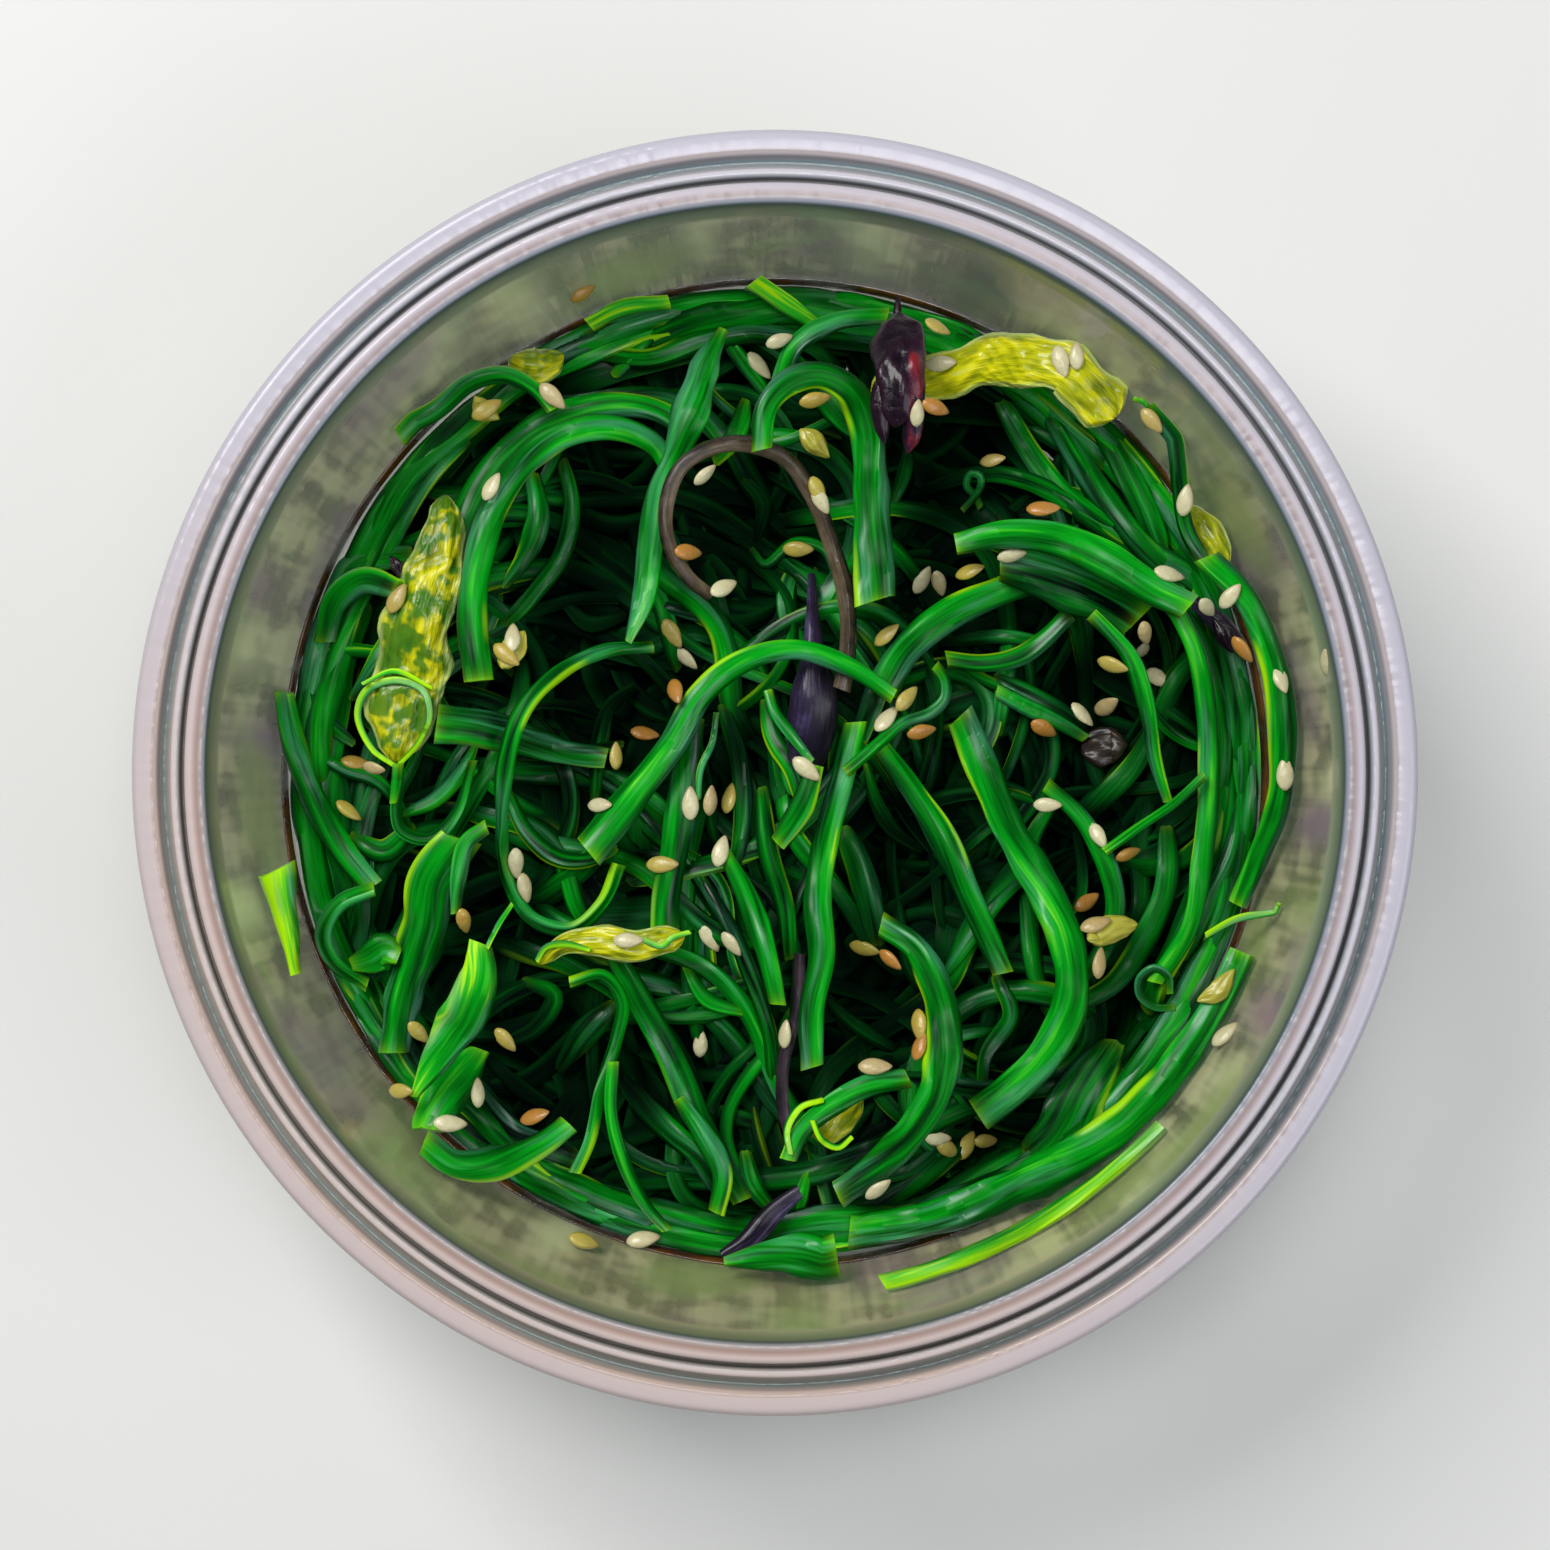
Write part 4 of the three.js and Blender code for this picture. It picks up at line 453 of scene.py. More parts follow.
def unit(vectors):
    return vectors / np.maximum(np.linalg.norm(vectors, axis=-1, keepdims=True), 1e-12)


def new_piece(name, places, faces, material, sharp=None):
    """An object from points in millimetres, smooth but for edges past an angle in degrees."""
    mesh = bpy.data.meshes.new(name)
    mesh.from_pydata(np.asarray(places, float).reshape(-1, 3) * MM, [], faces)
    mesh.polygons.foreach_set("use_smooth", np.ones(len(mesh.polygons), bool))
    if sharp:
        mesh.set_sharp_from_angle(angle=math.radians(sharp))
    mesh.materials.append(material)
    piece = bpy.data.objects.new(name, mesh)
    bpy.context.scene.collection.objects.link(piece)
    return piece


def add_values(mesh, values):
    """Stores named values, one for each point, as attributes that materials read."""
    for key, amounts in values.items():
        layer = mesh.attributes.new(key, "FLOAT", "POINT")
        layer.data.foreach_set("value", amounts.astype(np.float32))


class Skin:
    """Collects closed tubes of quads, with named values at their points, for one mesh."""

    def __init__(self):
        self.places, self.faces, self.values, self.count = [], [], {}, 0

    def add(self, grid, values):
        """Adds a grid of rings by sides, anticlockwise about the way along, and closes its ends flat."""
        rings, sides = grid.shape[:2]
        index = self.count + np.arange(rings * sides).reshape(rings, sides)
        turned = np.roll(index, -1, axis=1)
        walls = np.stack([index[:-1], turned[:-1], turned[1:], index[1:]], axis=-1).reshape(-1, 4)
        pair = np.arange(sides // 2 - 1)
        cap = np.stack([pair, pair + 1, sides - 2 - pair, sides - 1 - pair], axis=-1)
        self.faces += [walls, index[0][cap[:, ::-1]], index[-1][cap]]
        self.places.append(grid.reshape(-1, 3))
        for name, value in values.items():
            spread = np.broadcast_to(value, (rings, sides)).reshape(-1)
            self.values.setdefault(name, []).append(spread)
        self.count += rings * sides

    def lay(self, grid, values):
        """Adds a piece that later ones lie on."""
        self.add(grid, values)
        RELIEF.add(grid)

    def build(self, name, material, sharp=55):
        """Makes the object with the named values as attributes of its points."""
        piece = new_piece(name, np.vstack(self.places), np.vstack(self.faces), material, sharp)
        add_values(piece.data, {key: np.concatenate(parts) for key, parts in self.values.items()})
        return piece


def corners_of(mesh):
    """A mesh's points in millimetres."""
    corners = np.empty(len(mesh.vertices) * 3)
    mesh.vertices.foreach_get("co", corners)
    return corners.reshape(-1, 3) / MM


def declare(piece, nodes=()):
    """Makes a piece move with the tub and hides the nodes it stands for."""
    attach(piece, "root")
    if nodes:
        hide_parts(*nodes)
    return piece


def frames_along(points, facing):
    """Across and up directions along a line, for a blade whose face looks the facing way."""
    along = unit(np.gradient(points, axis=0))
    across = unit(np.cross(facing, along))
    return along, across, np.cross(along, across)


def blade(points, halves, thickness, rng, facing=(0.0, 0.0, 1.0), roll=0.35, sides=14, ridges=2.5, ruffle=0.0,
          turn=0.0, tone=0.4):
    """A wet ribbon of seaweed along a line.

    The section is a rounded lens: across is cos a and up is sin a, each to the power 0.85 with its sign. It
    is cupped by a parabola, grooved by a cosine across it, ruffled towards its edges by a sine along it, and
    turned about the line by a slow wave. The ends are cut at a slant.
    """
    run = run_of(points)
    count = len(points)
    along, across, up = frames_along(points, np.broadcast_to(facing, points.shape))
    angle = (np.arange(sides) + 0.5) * 2 * math.pi / sides
    cosine, sine = np.cos(angle), np.sin(angle)
    q = (np.sign(cosine) * np.abs(cosine) ** 0.85)[None, :]
    lens = (np.sign(sine) * np.abs(sine) ** 0.85)[None, :]
    half = (halves * (1 + 0.07 * wobble(run, rng, 9)))[:, None]
    thick = np.broadcast_to(thickness, (count,))[:, None] * (1 + 0.1 * wobble(run, rng, 6))[:, None]
    cup = (0.22 * wobble(run, rng, 22) + rng.uniform(-0.12, 0.12))[:, None]
    groove_phase = (rng.uniform(0, 2 * math.pi) + 0.7 * wobble(run, rng, 30))[:, None]
    groove = 0.16 * np.cos(ridges * math.pi * q + groove_phase) * (1 - 0.6 * q**2)
    ruffles = ruffle * np.sin(2 * math.pi * run / 5.5 + rng.uniform(0, 6))[:, None] * q * np.abs(q)
    height = 0.5 * thick * lens * (1 + groove * 1.4) + half * cup * (q**2 - 0.35) + half * ruffles
    twist = (turn + roll * wobble(run, rng, 26))[:, None]
    sideways = half * q * np.cos(twist) - height * np.sin(twist)
    upwards = half * q * np.sin(twist) + height * np.cos(twist)
    slant = np.zeros((count, 1))
    slant[0], slant[-1] = rng.uniform(-0.4, 0.4, 2)
    grid = (points[:, None, :] + across[:, None, :] * sideways[..., None] + up[:, None, :] * upwards[..., None]
            + along[:, None, :] * (slant * sideways)[..., None])
    to_end = np.minimum(run, run[-1] - run)[:, None]
    values = {
        "along": run[:, None], "across": q * half, "rim": np.abs(q) ** 4, "side": q * rng.choice([-1, 1]),
        "ridge": 0.5 + 3 * groove, "cut": np.exp(-to_end / 0.4), "tone": tone, "pick": rng.uniform(0, 1),
    }
    return grid, values


def surface_cap(flat):
    """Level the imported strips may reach: the crown, sunk by a bell-shaped dip at each dark gap."""
    apart = ((flat[:, None, :] - to_mm(GAPS)[None, :, :]) ** 2).sum(axis=2)
    dips = (GAP_DEPTH * np.exp(-apart / (2 * GAP_REACH**2))).max(axis=1)
    return crown_level(flat[:, 0], flat[:, 1]) - dips


class Relief:
    """The highest point of what has been laid, on a square grid of the tub's inside."""

    CELL = 0.5
    HALF = 104

    def __init__(self):
        steps = (np.arange(2 * self.HALF + 1) - self.HALF) * self.CELL
        x, y = np.meshgrid(steps, steps)
        cap = surface_cap(np.column_stack([x.ravel(), y.ravel()])).reshape(x.shape)
        self.level = np.maximum(cap - 6, wall_level(np.hypot(x, y)))

    def cells(self, x, y):
        limit = 2 * self.HALF
        row = np.clip(np.round(y / self.CELL).astype(int) + self.HALF, 0, limit)
        column = np.clip(np.round(x / self.CELL).astype(int) + self.HALF, 0, limit)
        return row, column

    def disc(self, points, radius):
        """The cells within a radius of each point, points by cells."""
        reach = int(math.ceil(radius / self.CELL))
        dx, dy = np.meshgrid(np.arange(-reach, reach + 1), np.arange(-reach, reach + 1))
        inside = np.hypot(dx, dy) <= radius / self.CELL + 0.3
        row, column = self.cells(points[:, 0], points[:, 1])
        limit = 2 * self.HALF
        return np.clip(row[:, None] + dy[inside], 0, limit), np.clip(column[:, None] + dx[inside], 0, limit)

    def add(self, grid):
        points = grid.reshape(-1, 3)
        np.maximum.at(self.level, self.cells(points[:, 0], points[:, 1]), points[:, 2])

    def rest(self, points, radius, climb=0.6):
        """Levels of a line that lies on what is there: the upper hull of lines with a slope, then smoothed."""
        need = self.level[self.disc(points, radius)].max(axis=1)
        run = run_of(points[:, :2])
        hull = (need[None, :] - climb * np.abs(run[:, None] - run[None, :])).max(axis=1)
        return np.maximum(smoothed(hull, run, 1.5), need)

    def at(self, x, y, radius):
        """Mean level near a place, and the slope there in x and y."""
        row, column = self.disc(np.array([[x, y]]), radius)
        height = self.level[row, column][0]
        dx = (column[0] - self.HALF) * self.CELL - x
        dy = (row[0] - self.HALF) * self.CELL - y
        usable = height > height.max() - 2.2
        fit = np.column_stack([np.ones(usable.sum()), dx[usable], dy[usable]])
        answer = np.linalg.lstsq(fit, height[usable], rcond=None)[0]
        return np.clip(answer[0], height[usable].min(), height.max()), np.clip(answer[1:], -0.7, 0.7)


RELIEF = Relief()


def node_levels(points, node):
    """Levels of a traced line inside its node: a mean of the node's points, weighted by how near they are."""
    corners = corners_of(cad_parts[node].data)
    apart = ((points[:, None, :2] - corners[None, :, :2]) ** 2).sum(axis=2)
    weights = np.exp(-apart / (2 * 1.5**2)) + 1e-12
    levels = (weights * corners[:, 2]).sum(axis=1) / weights.sum(axis=1)
    return smoothed(levels, run_of(points[:, :2]), 1.2)


def inside_wall(points, halves, levels):
    """Draws points in so that a blade at their levels stays clear of the wall."""
    most = wall_radius(levels) - CLEAR_OF_WALL - halves
    radius = np.linalg.norm(points, axis=1)
    return points * np.minimum(1, most / np.maximum(radius, 1e-9))[:, None]


def traced(name, widths, route, step=0.4):
    """A traced piece's line in space, from its route in the picture and the levels of its node."""
    flat = spline(to_mm(route), step)
    halves = widths_at(widths, len(flat))
    levels = node_levels(flat, name)
    flat = inside_wall(flat, halves, levels)
    return np.column_stack([flat, levels]), halves


class Value:
    """A shader socket that can be added, multiplied and compared like a number."""

    def __init__(self, shader, socket):
        self.shader, self.socket = shader, socket

    def math(self, operation, *others, clamp=False):
        settings = {"operation": operation, "use_clamp": clamp}
        return self.shader.node("ShaderNodeMath", settings, dict(enumerate((self, *others))))

    def __add__(self, other):
        return self.math("ADD", other)

    def __sub__(self, other):
        return self.math("SUBTRACT", other)

    def __mul__(self, other):
        return self.math("MULTIPLY", other)

    def __truediv__(self, other):
        return self.math("DIVIDE", other)

    def __pow__(self, other):
        return self.math("POWER", other)

    def __rsub__(self, other):
        return self.shader.node("ShaderNodeMath", {"operation": "SUBTRACT"}, {0: other, 1: self})

    __radd__, __rmul__ = __add__, __mul__

    def most(self, other):
        return self.math("MAXIMUM", other)

    def clamped(self):
        return self.math("ADD", 0.0, clamp=True)

    def between(self, low, high):
        """0 below low and 1 above high, smooth in between."""
        sockets = {"Value": self, "From Min": low, "From Max": high}
        return self.shader.node("ShaderNodeMapRange", {"interpolation_type": "SMOOTHSTEP"}, sockets)

    def __getitem__(self, axis):
        parts = self.shader.raw("ShaderNodeSeparateXYZ", {}, {0: self})
        return Value(self.shader, parts.outputs[axis])


class Shader:
    """A material with one Principled surface."""

    def __init__(self, name, **constants):
        self.material = bpy.data.materials.new(name)
        self.material.use_nodes = True
        self.tree = self.material.node_tree
        self.surface = next(n for n in self.tree.nodes if n.type == "BSDF_PRINCIPLED")
        for socket, number in constants.items():
            self.surface.inputs[socket.replace("_", " ")].default_value = number

    def raw(self, kind, settings, sockets):
        """Any node: its settings first, a ramp's stops among them, then the values or links of its sockets."""
        made = self.tree.nodes.new(kind)
        for setting, choice in settings.items():
            if setting == "stops":
                elements = made.color_ramp.elements
                while len(elements) < len(choice):
                    elements.new(0.5)
                for element, (place, colour) in zip(elements, choice):
                    element.position = place
                    element.color = (*colour, 1)
            else:
                setattr(made, setting, choice)
        for socket, given in sockets.items():
            if isinstance(given, Value):
                self.tree.links.new(given.socket, made.inputs[socket])
            else:
                made.inputs[socket].default_value = given
        return made

    def node(self, kind, settings, sockets, output=0):
        return Value(self, self.raw(kind, settings, sockets).outputs[output])

    def place(self):
        """Object coordinates in millimetres."""
        spot = self.node("ShaderNodeTexCoord", {}, {}, "Object")
        return self.node("ShaderNodeVectorMath", {"operation": "SCALE"}, {0: spot, "Scale": 1 / MM})

    def attribute(self, name):
        return self.node("ShaderNodeAttribute", {"attribute_name": name}, {}, "Fac")

    def vector(self, x, y, z):
        return self.node("ShaderNodeCombineXYZ", {}, {0: x, 1: y, 2: z})

    def noise(self, vector, scale, detail=2.0, roughness=0.5):
        sockets = {"Vector": vector, "Scale": scale, "Detail": detail, "Roughness": roughness}
        return self.node("ShaderNodeTexNoise", {}, sockets, 0)

    def ramp(self, factor, *stops):
        return self.node("ShaderNodeValToRGB", {"stops": stops}, {0: factor})

    def mix(self, factor, first, second, blend="MIX"):
        """First colour at 0, second or the blend of both at 1."""
        def whole(colour):
            return colour if isinstance(colour, Value) else (*colour, 1)
        settings = {"data_type": "RGBA", "blend_type": blend}
        return self.node("ShaderNodeMix", settings, {0: factor, 6: whole(first), 7: whole(second)}, 2)

    def bump(self, height, distance, strength=1.0):
        self.feed("Normal", self.node("ShaderNodeBump", {}, {
            "Height": height, "Distance": distance, "Strength": strength}))

    def feed(self, socket, value):
        self.tree.links.new(value.socket, self.surface.inputs[socket])


def wakame_material(look):
    """Wet seaweed: dark to bright green by tone, in soft lengthwise bands, with a lime edge in places, a
    painted shaded edge and one side painted a little lighter, painted highlights on its ridges and painted
    shade in its grooves, bluish patches of painted sheen and pale cut ends. Painted shade darkens it with
    depth, where no light reaches, but not against the wall and the floor, where light comes in through the
    plastic."""
    shader = Shader("wakame_skin", Coat_Roughness=0.26, IOR=1.38, Specular_IOR_Level=0.12,
                    Specular_Tint=(0.35, 1.0, 0.55, 1))
    along, across, pick = (shader.attribute(name) for name in ("along", "across", "pick"))
    tone, side, ridge, cut = (shader.attribute(name) for name in ("tone", "side", "ridge", "cut"))
    place = shader.place()
    x, y, z = place[0], place[1], place[2]
    fibres = shader.noise(shader.vector(along * 0.11, across * 1.3, pick * 60), 1.0, 2.0, 0.5)
    threads = shader.noise(shader.vector(along * 0.2, across * 3.6, pick * 90), 1.0, 1.0)
    bands = shader.noise(shader.vector(along * 0.06, across * 0.5, pick * 17), 1.0, 1.0)
    blotch = shader.noise(place, 0.14, 1.0)
    from_wall = (x * x + y * y) ** 0.5 - BASE_RADIUS - (z - BASE_LEVEL) * WALL_SLOPE
    lit_side = from_wall.between(-4.5, -2.4).most(1 - z.between(3.5, 5.5))
    # Painted shade: the colour darkens with depth below the surface, down to the deep colour, except against
    # the wall and the floor
    depth = z.between(20.9, 25.7).most(lit_side * 0.85)
    # Painted light: ridges lighter and grooves darker, and one side of each strip a little lighter
    light = (tone + (fibres - 0.5) * 0.6 + (threads - 0.5) * 0.5 + (bands - 0.5) * 0.75 + (blotch - 0.5) * 0.45
             + (ridge - 0.5) * 0.3 + side * 0.1) * (0.05 + depth * 0.95)
    body = shader.ramp(light.clamped(), (0.0, look.deep), (0.13, look.shade), (0.36, look.green),
                       (0.68, look.bright), (0.88, look.pale), (1.0, look.lime))
    # Painted shade: one edge of each strip darkened towards the shade colour
    shaded = shader.mix((side * -1).between(0.3, 1.0) * 0.7, body, look.shade)
    in_places = shader.noise(shader.vector(along * 0.08, 0.0, pick * 77), 1.0, 0.0).between(0.53, 0.64)
    lime = (side.between(0.68, 0.95) * in_places * (tone + 0.3).between(0.35, 0.8)
            + cut * tone * 0.7 + (tone - 0.9).between(0.0, 0.1) * side.between(-0.6, 0.2)).clamped()
    coloured = shader.mix(lime * 0.9 * depth, shaded, look.lime)
    # Painted sheen: bluish patches along the fibres, stronger on lighter strips and near the surface
    blue = shader.noise(shader.vector(along * 0.1, across * 0.9, pick * 31), 1.0, 0.0)
    sheen = blue.between(0.5, 0.7) * (0.2 + tone * 0.8).clamped() * depth * depth
    sheen = sheen * (fibres * 0.5 + threads * 0.5).between(0.35, 0.6)
    coloured = shader.mix(sheen * 0.7, coloured, look.teal)
    shader.feed("Base Color", coloured)
    shader.feed("Roughness", 0.8 + depth * -0.42 + (fibres - 0.5) * 0.3)
    shader.feed("Coat Weight", depth * depth * (0.06 + blue.between(0.45, 0.65) * 0.45))
    shader.bump(fibres, 0.18 * MM)
    return shader.material


def plastic_material(look):
    """Clear plastic: nearly clear where it is seen face on, and seen along its wall an olive haze with upright
    streaks and soft patches, partly the plastic's own haze and partly painted reflection, warmer on the near
    side, and the marks that it mirrors above the salad as painted reflections. Its rim's rings are painted
    reflections and highlights with painted shade in their grooves, cooler at the top left and warmer at the
    lower left."""
    shader = Shader("clear_plastic", IOR=1.4)
    place = shader.place()
    x, y, z = place[0], place[1], place[2]
    radius = (x * x + y * y) ** 0.5
    inward = RIM_RADIUS - radius
    # Painted reflections and highlights: the rim's rings, cooler at the top left and warmer at the lower left
    rings = shader.ramp((inward / 10).clamped(), *((share / 10, ring) for share, ring in RIM_PAINTED_LIGHT))
    warm_reflection = ((x * -0.55 + y * -0.83) / radius).between(-0.2, 0.9)
    rings = shader.mix(1.0, rings, shader.mix(warm_reflection, look.cool_rim_reflection, look.warm_rim_reflection), "MULTIPLY")
    round_x, round_y = x / radius, y / radius
    streaks = shader.noise(shader.vector(round_x * 42, round_y * 42, z * 0.05), 1.0, 1.0)
    clouds = shader.noise(shader.vector(round_x * 13, round_y * 13, z * 0.22), 1.0, 1.0)
    # The wall's haze: partly the plastic's own haze, partly painted reflection of what lies behind and around
    # the wall, with a warmer painted reflection on the near side
    haze = shader.mix((clouds * 0.7 + streaks * 0.3).between(0.38, 0.62), look.haze_dark, look.haze)
    # Painted reflection: dark streaks on the side towards positive y, where the wall mirrors dark strips
    haze = shader.mix(streaks.between(0.5, 0.62) * round_y.between(0.7, 0.9) * 0.6, haze, look.dark_tint)
    warm_side = (round_y * -1 - round_x * 0.4).between(0.3, 1.0)
    haze = shader.mix(warm_side * 0.25, haze, look.warm_side_reflection)
    # Painted reflections: the marks that the wall mirrors
    for tint in WALL_MARKS:
        near = (shader.attribute(tint) * (0.9 + clouds * 0.8)).clamped()
        haze = shader.mix(near, haze, getattr(look, tint))
    at_rim = z.between(MOUTH_LEVEL - 1.6, MOUTH_LEVEL - 0.5).most(inward.between(6.9, 6.6))
    above = z.between(19.5, 25.5)
    shader.feed("Base Color", shader.mix(at_rim, haze, rings))
    facing = shader.node("ShaderNodeLayerWeight", {}, {0: 0.5}, "Facing")
    edge_on = facing.between(0.3, 0.85)
    clearness = 0.12 + above * 0.1 + edge_on * above * 0.68
    shader.feed("Alpha", clearness * (1 - at_rim) + at_rim * 0.96)
    shader.feed("Roughness", 0.14 + (streaks - 0.5) * 0.16 + at_rim * 0.04)
    shader.bump(streaks, 0.08 * MM)
    return shader.material


def jelly_material(look):
    """Folded agar jelly: olive to yellow in lengthwise streaks, with painted shade that makes its folds olive,
    a painted highlight that makes its pleats yellow, and pale green-white along its thin rims.
    """
    shader = Shader("agar_jelly", Coat_Weight=0.45, Coat_Roughness=0.16, IOR=1.36, Specular_IOR_Level=0.3)
    place = shader.place()
    along, crinkle, rim = (shader.attribute(name) for name in ("along", "crinkle", "rim"))
    across, pick, tone = (shader.attribute(name) for name in ("across", "pick", "tone"))
    pleats = shader.noise(shader.vector(along * 0.22, across * 1.6, pick * 40), 1.0, 3.0, 0.6)
    patches = shader.noise(place, 0.3, 2.0)
    # Painted shade and highlight: the troughs of the folds darker, their crests lighter
    light = crinkle * 0.5 + (pleats - 0.5) * 1.3 + (patches - 0.5) * 0.9 + 0.22
    body = shader.ramp(light.clamped(), (0.0, look.fold_shade), (0.35, look.body), (0.75, look.ridge),
                       (1.0, look.thin))
    spots = shader.noise(place, 0.4, 2.0, 0.6) + (1 - tone) * 0.2
    stained = shader.mix(spots.between(0.55, 0.66) * (1.2 - tone), body, look.green)
    shader.feed("Base Color", shader.mix(rim.between(0.6, 0.95) * 0.7, stained, look.thin))
    shader.feed("Roughness", 0.2 + pleats * 0.14)
    shader.bump(pleats, 0.4 * MM)
    return shader.material


def wood_ear_material(look):
    """Wood ear: purple-black or brown-grey by tone, with a painted highlight that makes one rolled edge paler,
    painted shade along the other, a painted violet sheen on the purple skin, and painted shade far down.
    """
    shader = Shader("wood_ear_skin", Coat_Weight=0.3, Coat_Roughness=0.24, IOR=1.4, Specular_IOR_Level=0.3)
    along, across, pick = (shader.attribute(name) for name in ("along", "across", "pick"))
    tone, side = shader.attribute("tone"), shader.attribute("side")
    mottle = shader.noise(shader.place(), 0.4, 3.0, 0.6)
    grain = shader.noise(shader.vector(along * 0.2, across * 2.2, pick * 50), 1.0, 2.0)
    # Painted shade far down, and painted light across the strip: one edge lighter, the other darker
    depth = shader.place()[2].between(21.5, 26.5)
    light = (0.35 + (mottle - 0.5) * 0.9 + (grain - 0.5) * 0.5 + side * 0.28).clamped() * (0.15 + depth * 0.85)
    purple = shader.ramp(light, (0.0, look.dark), (0.5, look.purple), (0.95, look.violet))
    brown = shader.ramp(light, (0.0, look.dark), (0.4, look.body), (1.0, look.edge))
    shader.feed("Base Color", shader.mix(tone.clamped(), purple, brown))
    shader.feed("Roughness", 0.32 + (grain - 0.5) * 0.25)
    shader.bump(grain * 0.7 + mottle * 0.3, 0.3 * MM)
    return shader.material


def chilli_material(look):
    """A dried chilli's skin: near black maroon, redder on its folds, glossy and finely wrinkled."""
    shader = Shader("chilli_skin", Coat_Weight=0.35, Coat_Roughness=0.16, IOR=1.45, Specular_IOR_Level=0.2)
    along, around = shader.attribute("along"), shader.attribute("crinkle")
    wrinkle = shader.noise(shader.place(), 0.7, 4.0, 0.6)
    red_side = along.between(3.0, 6.5) * shader.place()[0].between(12.0, 12.6)
    light = around * 0.45 + (wrinkle - 0.5) * 0.7 + red_side * 0.6
    shader.feed("Base Color", shader.ramp(light.clamped(), (0.0, look.dark), (0.6, look.body), (1.0, look.red)))
    shader.feed("Roughness", 0.22 + wrinkle * 0.15)
    shader.bump(wrinkle, 0.3 * MM)
    return shader.material


def sesame_material(look):
    """Sesame: cream to tan or orange seed by seed, darker at the point, with a faint mottled skin."""
    shader = Shader("sesame_skin", Coat_Weight=0.35, Coat_Roughness=0.2, IOR=1.45)
    pick, rim = shader.attribute("pick"), shader.attribute("rim")
    mottle = shader.noise(shader.place(), 1.6, 3.0)
    hull = shader.ramp(pick, (0.0, look.cream), (0.35, look.cream), (0.6, look.tan), (0.86, look.yellow),
                       (1.0, look.orange))
    shaded = shader.mix((rim * 0.45 + (mottle - 0.4) * 0.5).clamped(), hull, look.point)
    shader.feed("Base Color", shaded)
    shader.feed("Roughness", 0.35 + (mottle - 0.5) * 0.2)
    shader.bump(mottle, 0.12 * MM)
    return shader.material


def dressing_material(look):
    """Dressing: a thin dark red-brown line along the wall, thinner in places."""
    shader = Shader("dressing_film", Coat_Weight=1.0, Coat_Roughness=0.05, IOR=1.36)
    place = shader.place()
    patches = shader.noise(place, 0.18, 3.0)
    shader.feed("Base Color", shader.mix(patches.between(0.4, 0.65), look.thick, look.thin))
    shader.feed("Roughness", 0.08 + patches * 0.1)
    shader.feed("Alpha", 0.45 + patches.between(0.36, 0.6) * 0.5)
    return shader.material


def floor_material():
    shader = Shader("pale_floor", Roughness=0.6)
    grain = shader.noise(shader.place(), 0.02, 2.0)
    shader.feed("Base Color", shader.mix(grain, (0.74, 0.735, 0.72), (0.78, 0.775, 0.76)))
    return shader.material


def colour(name, description, default):
    return FloatVectorProperty(name=name, description=description, subtype="COLOR", min=0, max=1,
                               default=default)


class TubSettings(bpy.types.PropertyGroup):
    sides: IntProperty(name="Sides", description="Segments round the tub", default=256, min=48, max=512)
    fillet: FloatProperty(name="Fillet", description="Rounding of the profile's corners in millimetres",
                          default=0.45, min=0.05, max=1.0)
    # The haze colours are partly the plastic's own haze and partly painted reflection; the warm side, the
    # wall's marks and the rim's tints are painted reflections
    haze: colour("Haze", "Colour of the plastic's haze", (0.60, 0.57, 0.32))
    haze_dark: colour("Dark haze", "Colour of the haze between its streaks", (0.15, 0.15, 0.075))
    warm_side_reflection: colour("Warm haze", "Colour of the haze on the near side", (0.52, 0.42, 0.24))
    green_tint: colour("Green tint", "Where the wall mirrors the salad", (0.30, 0.38, 0.11))
    purple_tint: colour("Purple tint", "Where the wall mirrors the room", (0.30, 0.20, 0.26))
    pale_tint: colour("Pale tint", "Where the wall mirrors a light strip", (0.80, 0.84, 0.46))
    dark_tint: colour("Dark tint", "Where the wall mirrors a dark strip", (0.035, 0.07, 0.015))
    cool_rim_reflection: colour("Cool rim", "Tint of the rim at the top left", (0.93, 0.94, 1.0))
    warm_rim_reflection: colour("Warm rim", "Tint of the rim at the lower left", (1.0, 0.89, 0.80))


class WakameSettings(bpy.types.PropertyGroup):
    filling: IntProperty(name="Filling strips", description="Dark strips below the surface", default=210, min=0)
    at_wall: IntProperty(name="Strips at the wall", description="Strips that show through the wall",
                         default=230, min=0)
    strands: IntProperty(name="Strands", description="Thin strands on the bed", default=120, min=0)
    edge: IntProperty(name="Edge strips", description="Strips along the salad's edge", default=88, min=0)
    on_floor: IntProperty(name="Strips on the floor", description="Strips that show through the base",
                          default=90, min=0)
    # The deep colour is painted shade far down, and teal is a painted sheen
    deep: colour("Deep", "Seaweed far down", (0.0001, 0.0012, 0.001))
    shade: colour("Shade", "Seaweed in shade", (0.0005, 0.034, 0.004))
    green: colour("Green", "Seaweed's body", (0.0008, 0.135, 0.005))
    bright: colour("Bright green", "Seaweed's lit ridges", (0.002, 0.35, 0.010))
    pale: colour("Pale green", "Where the blade is thin", (0.055, 0.54, 0.02))
    lime: colour("Lime", "Thin edges and cut ends", (0.40, 0.80, 0.006))
    teal: colour("Teal", "Bluish sheen along the ridges", (0.07, 0.30, 0.19))


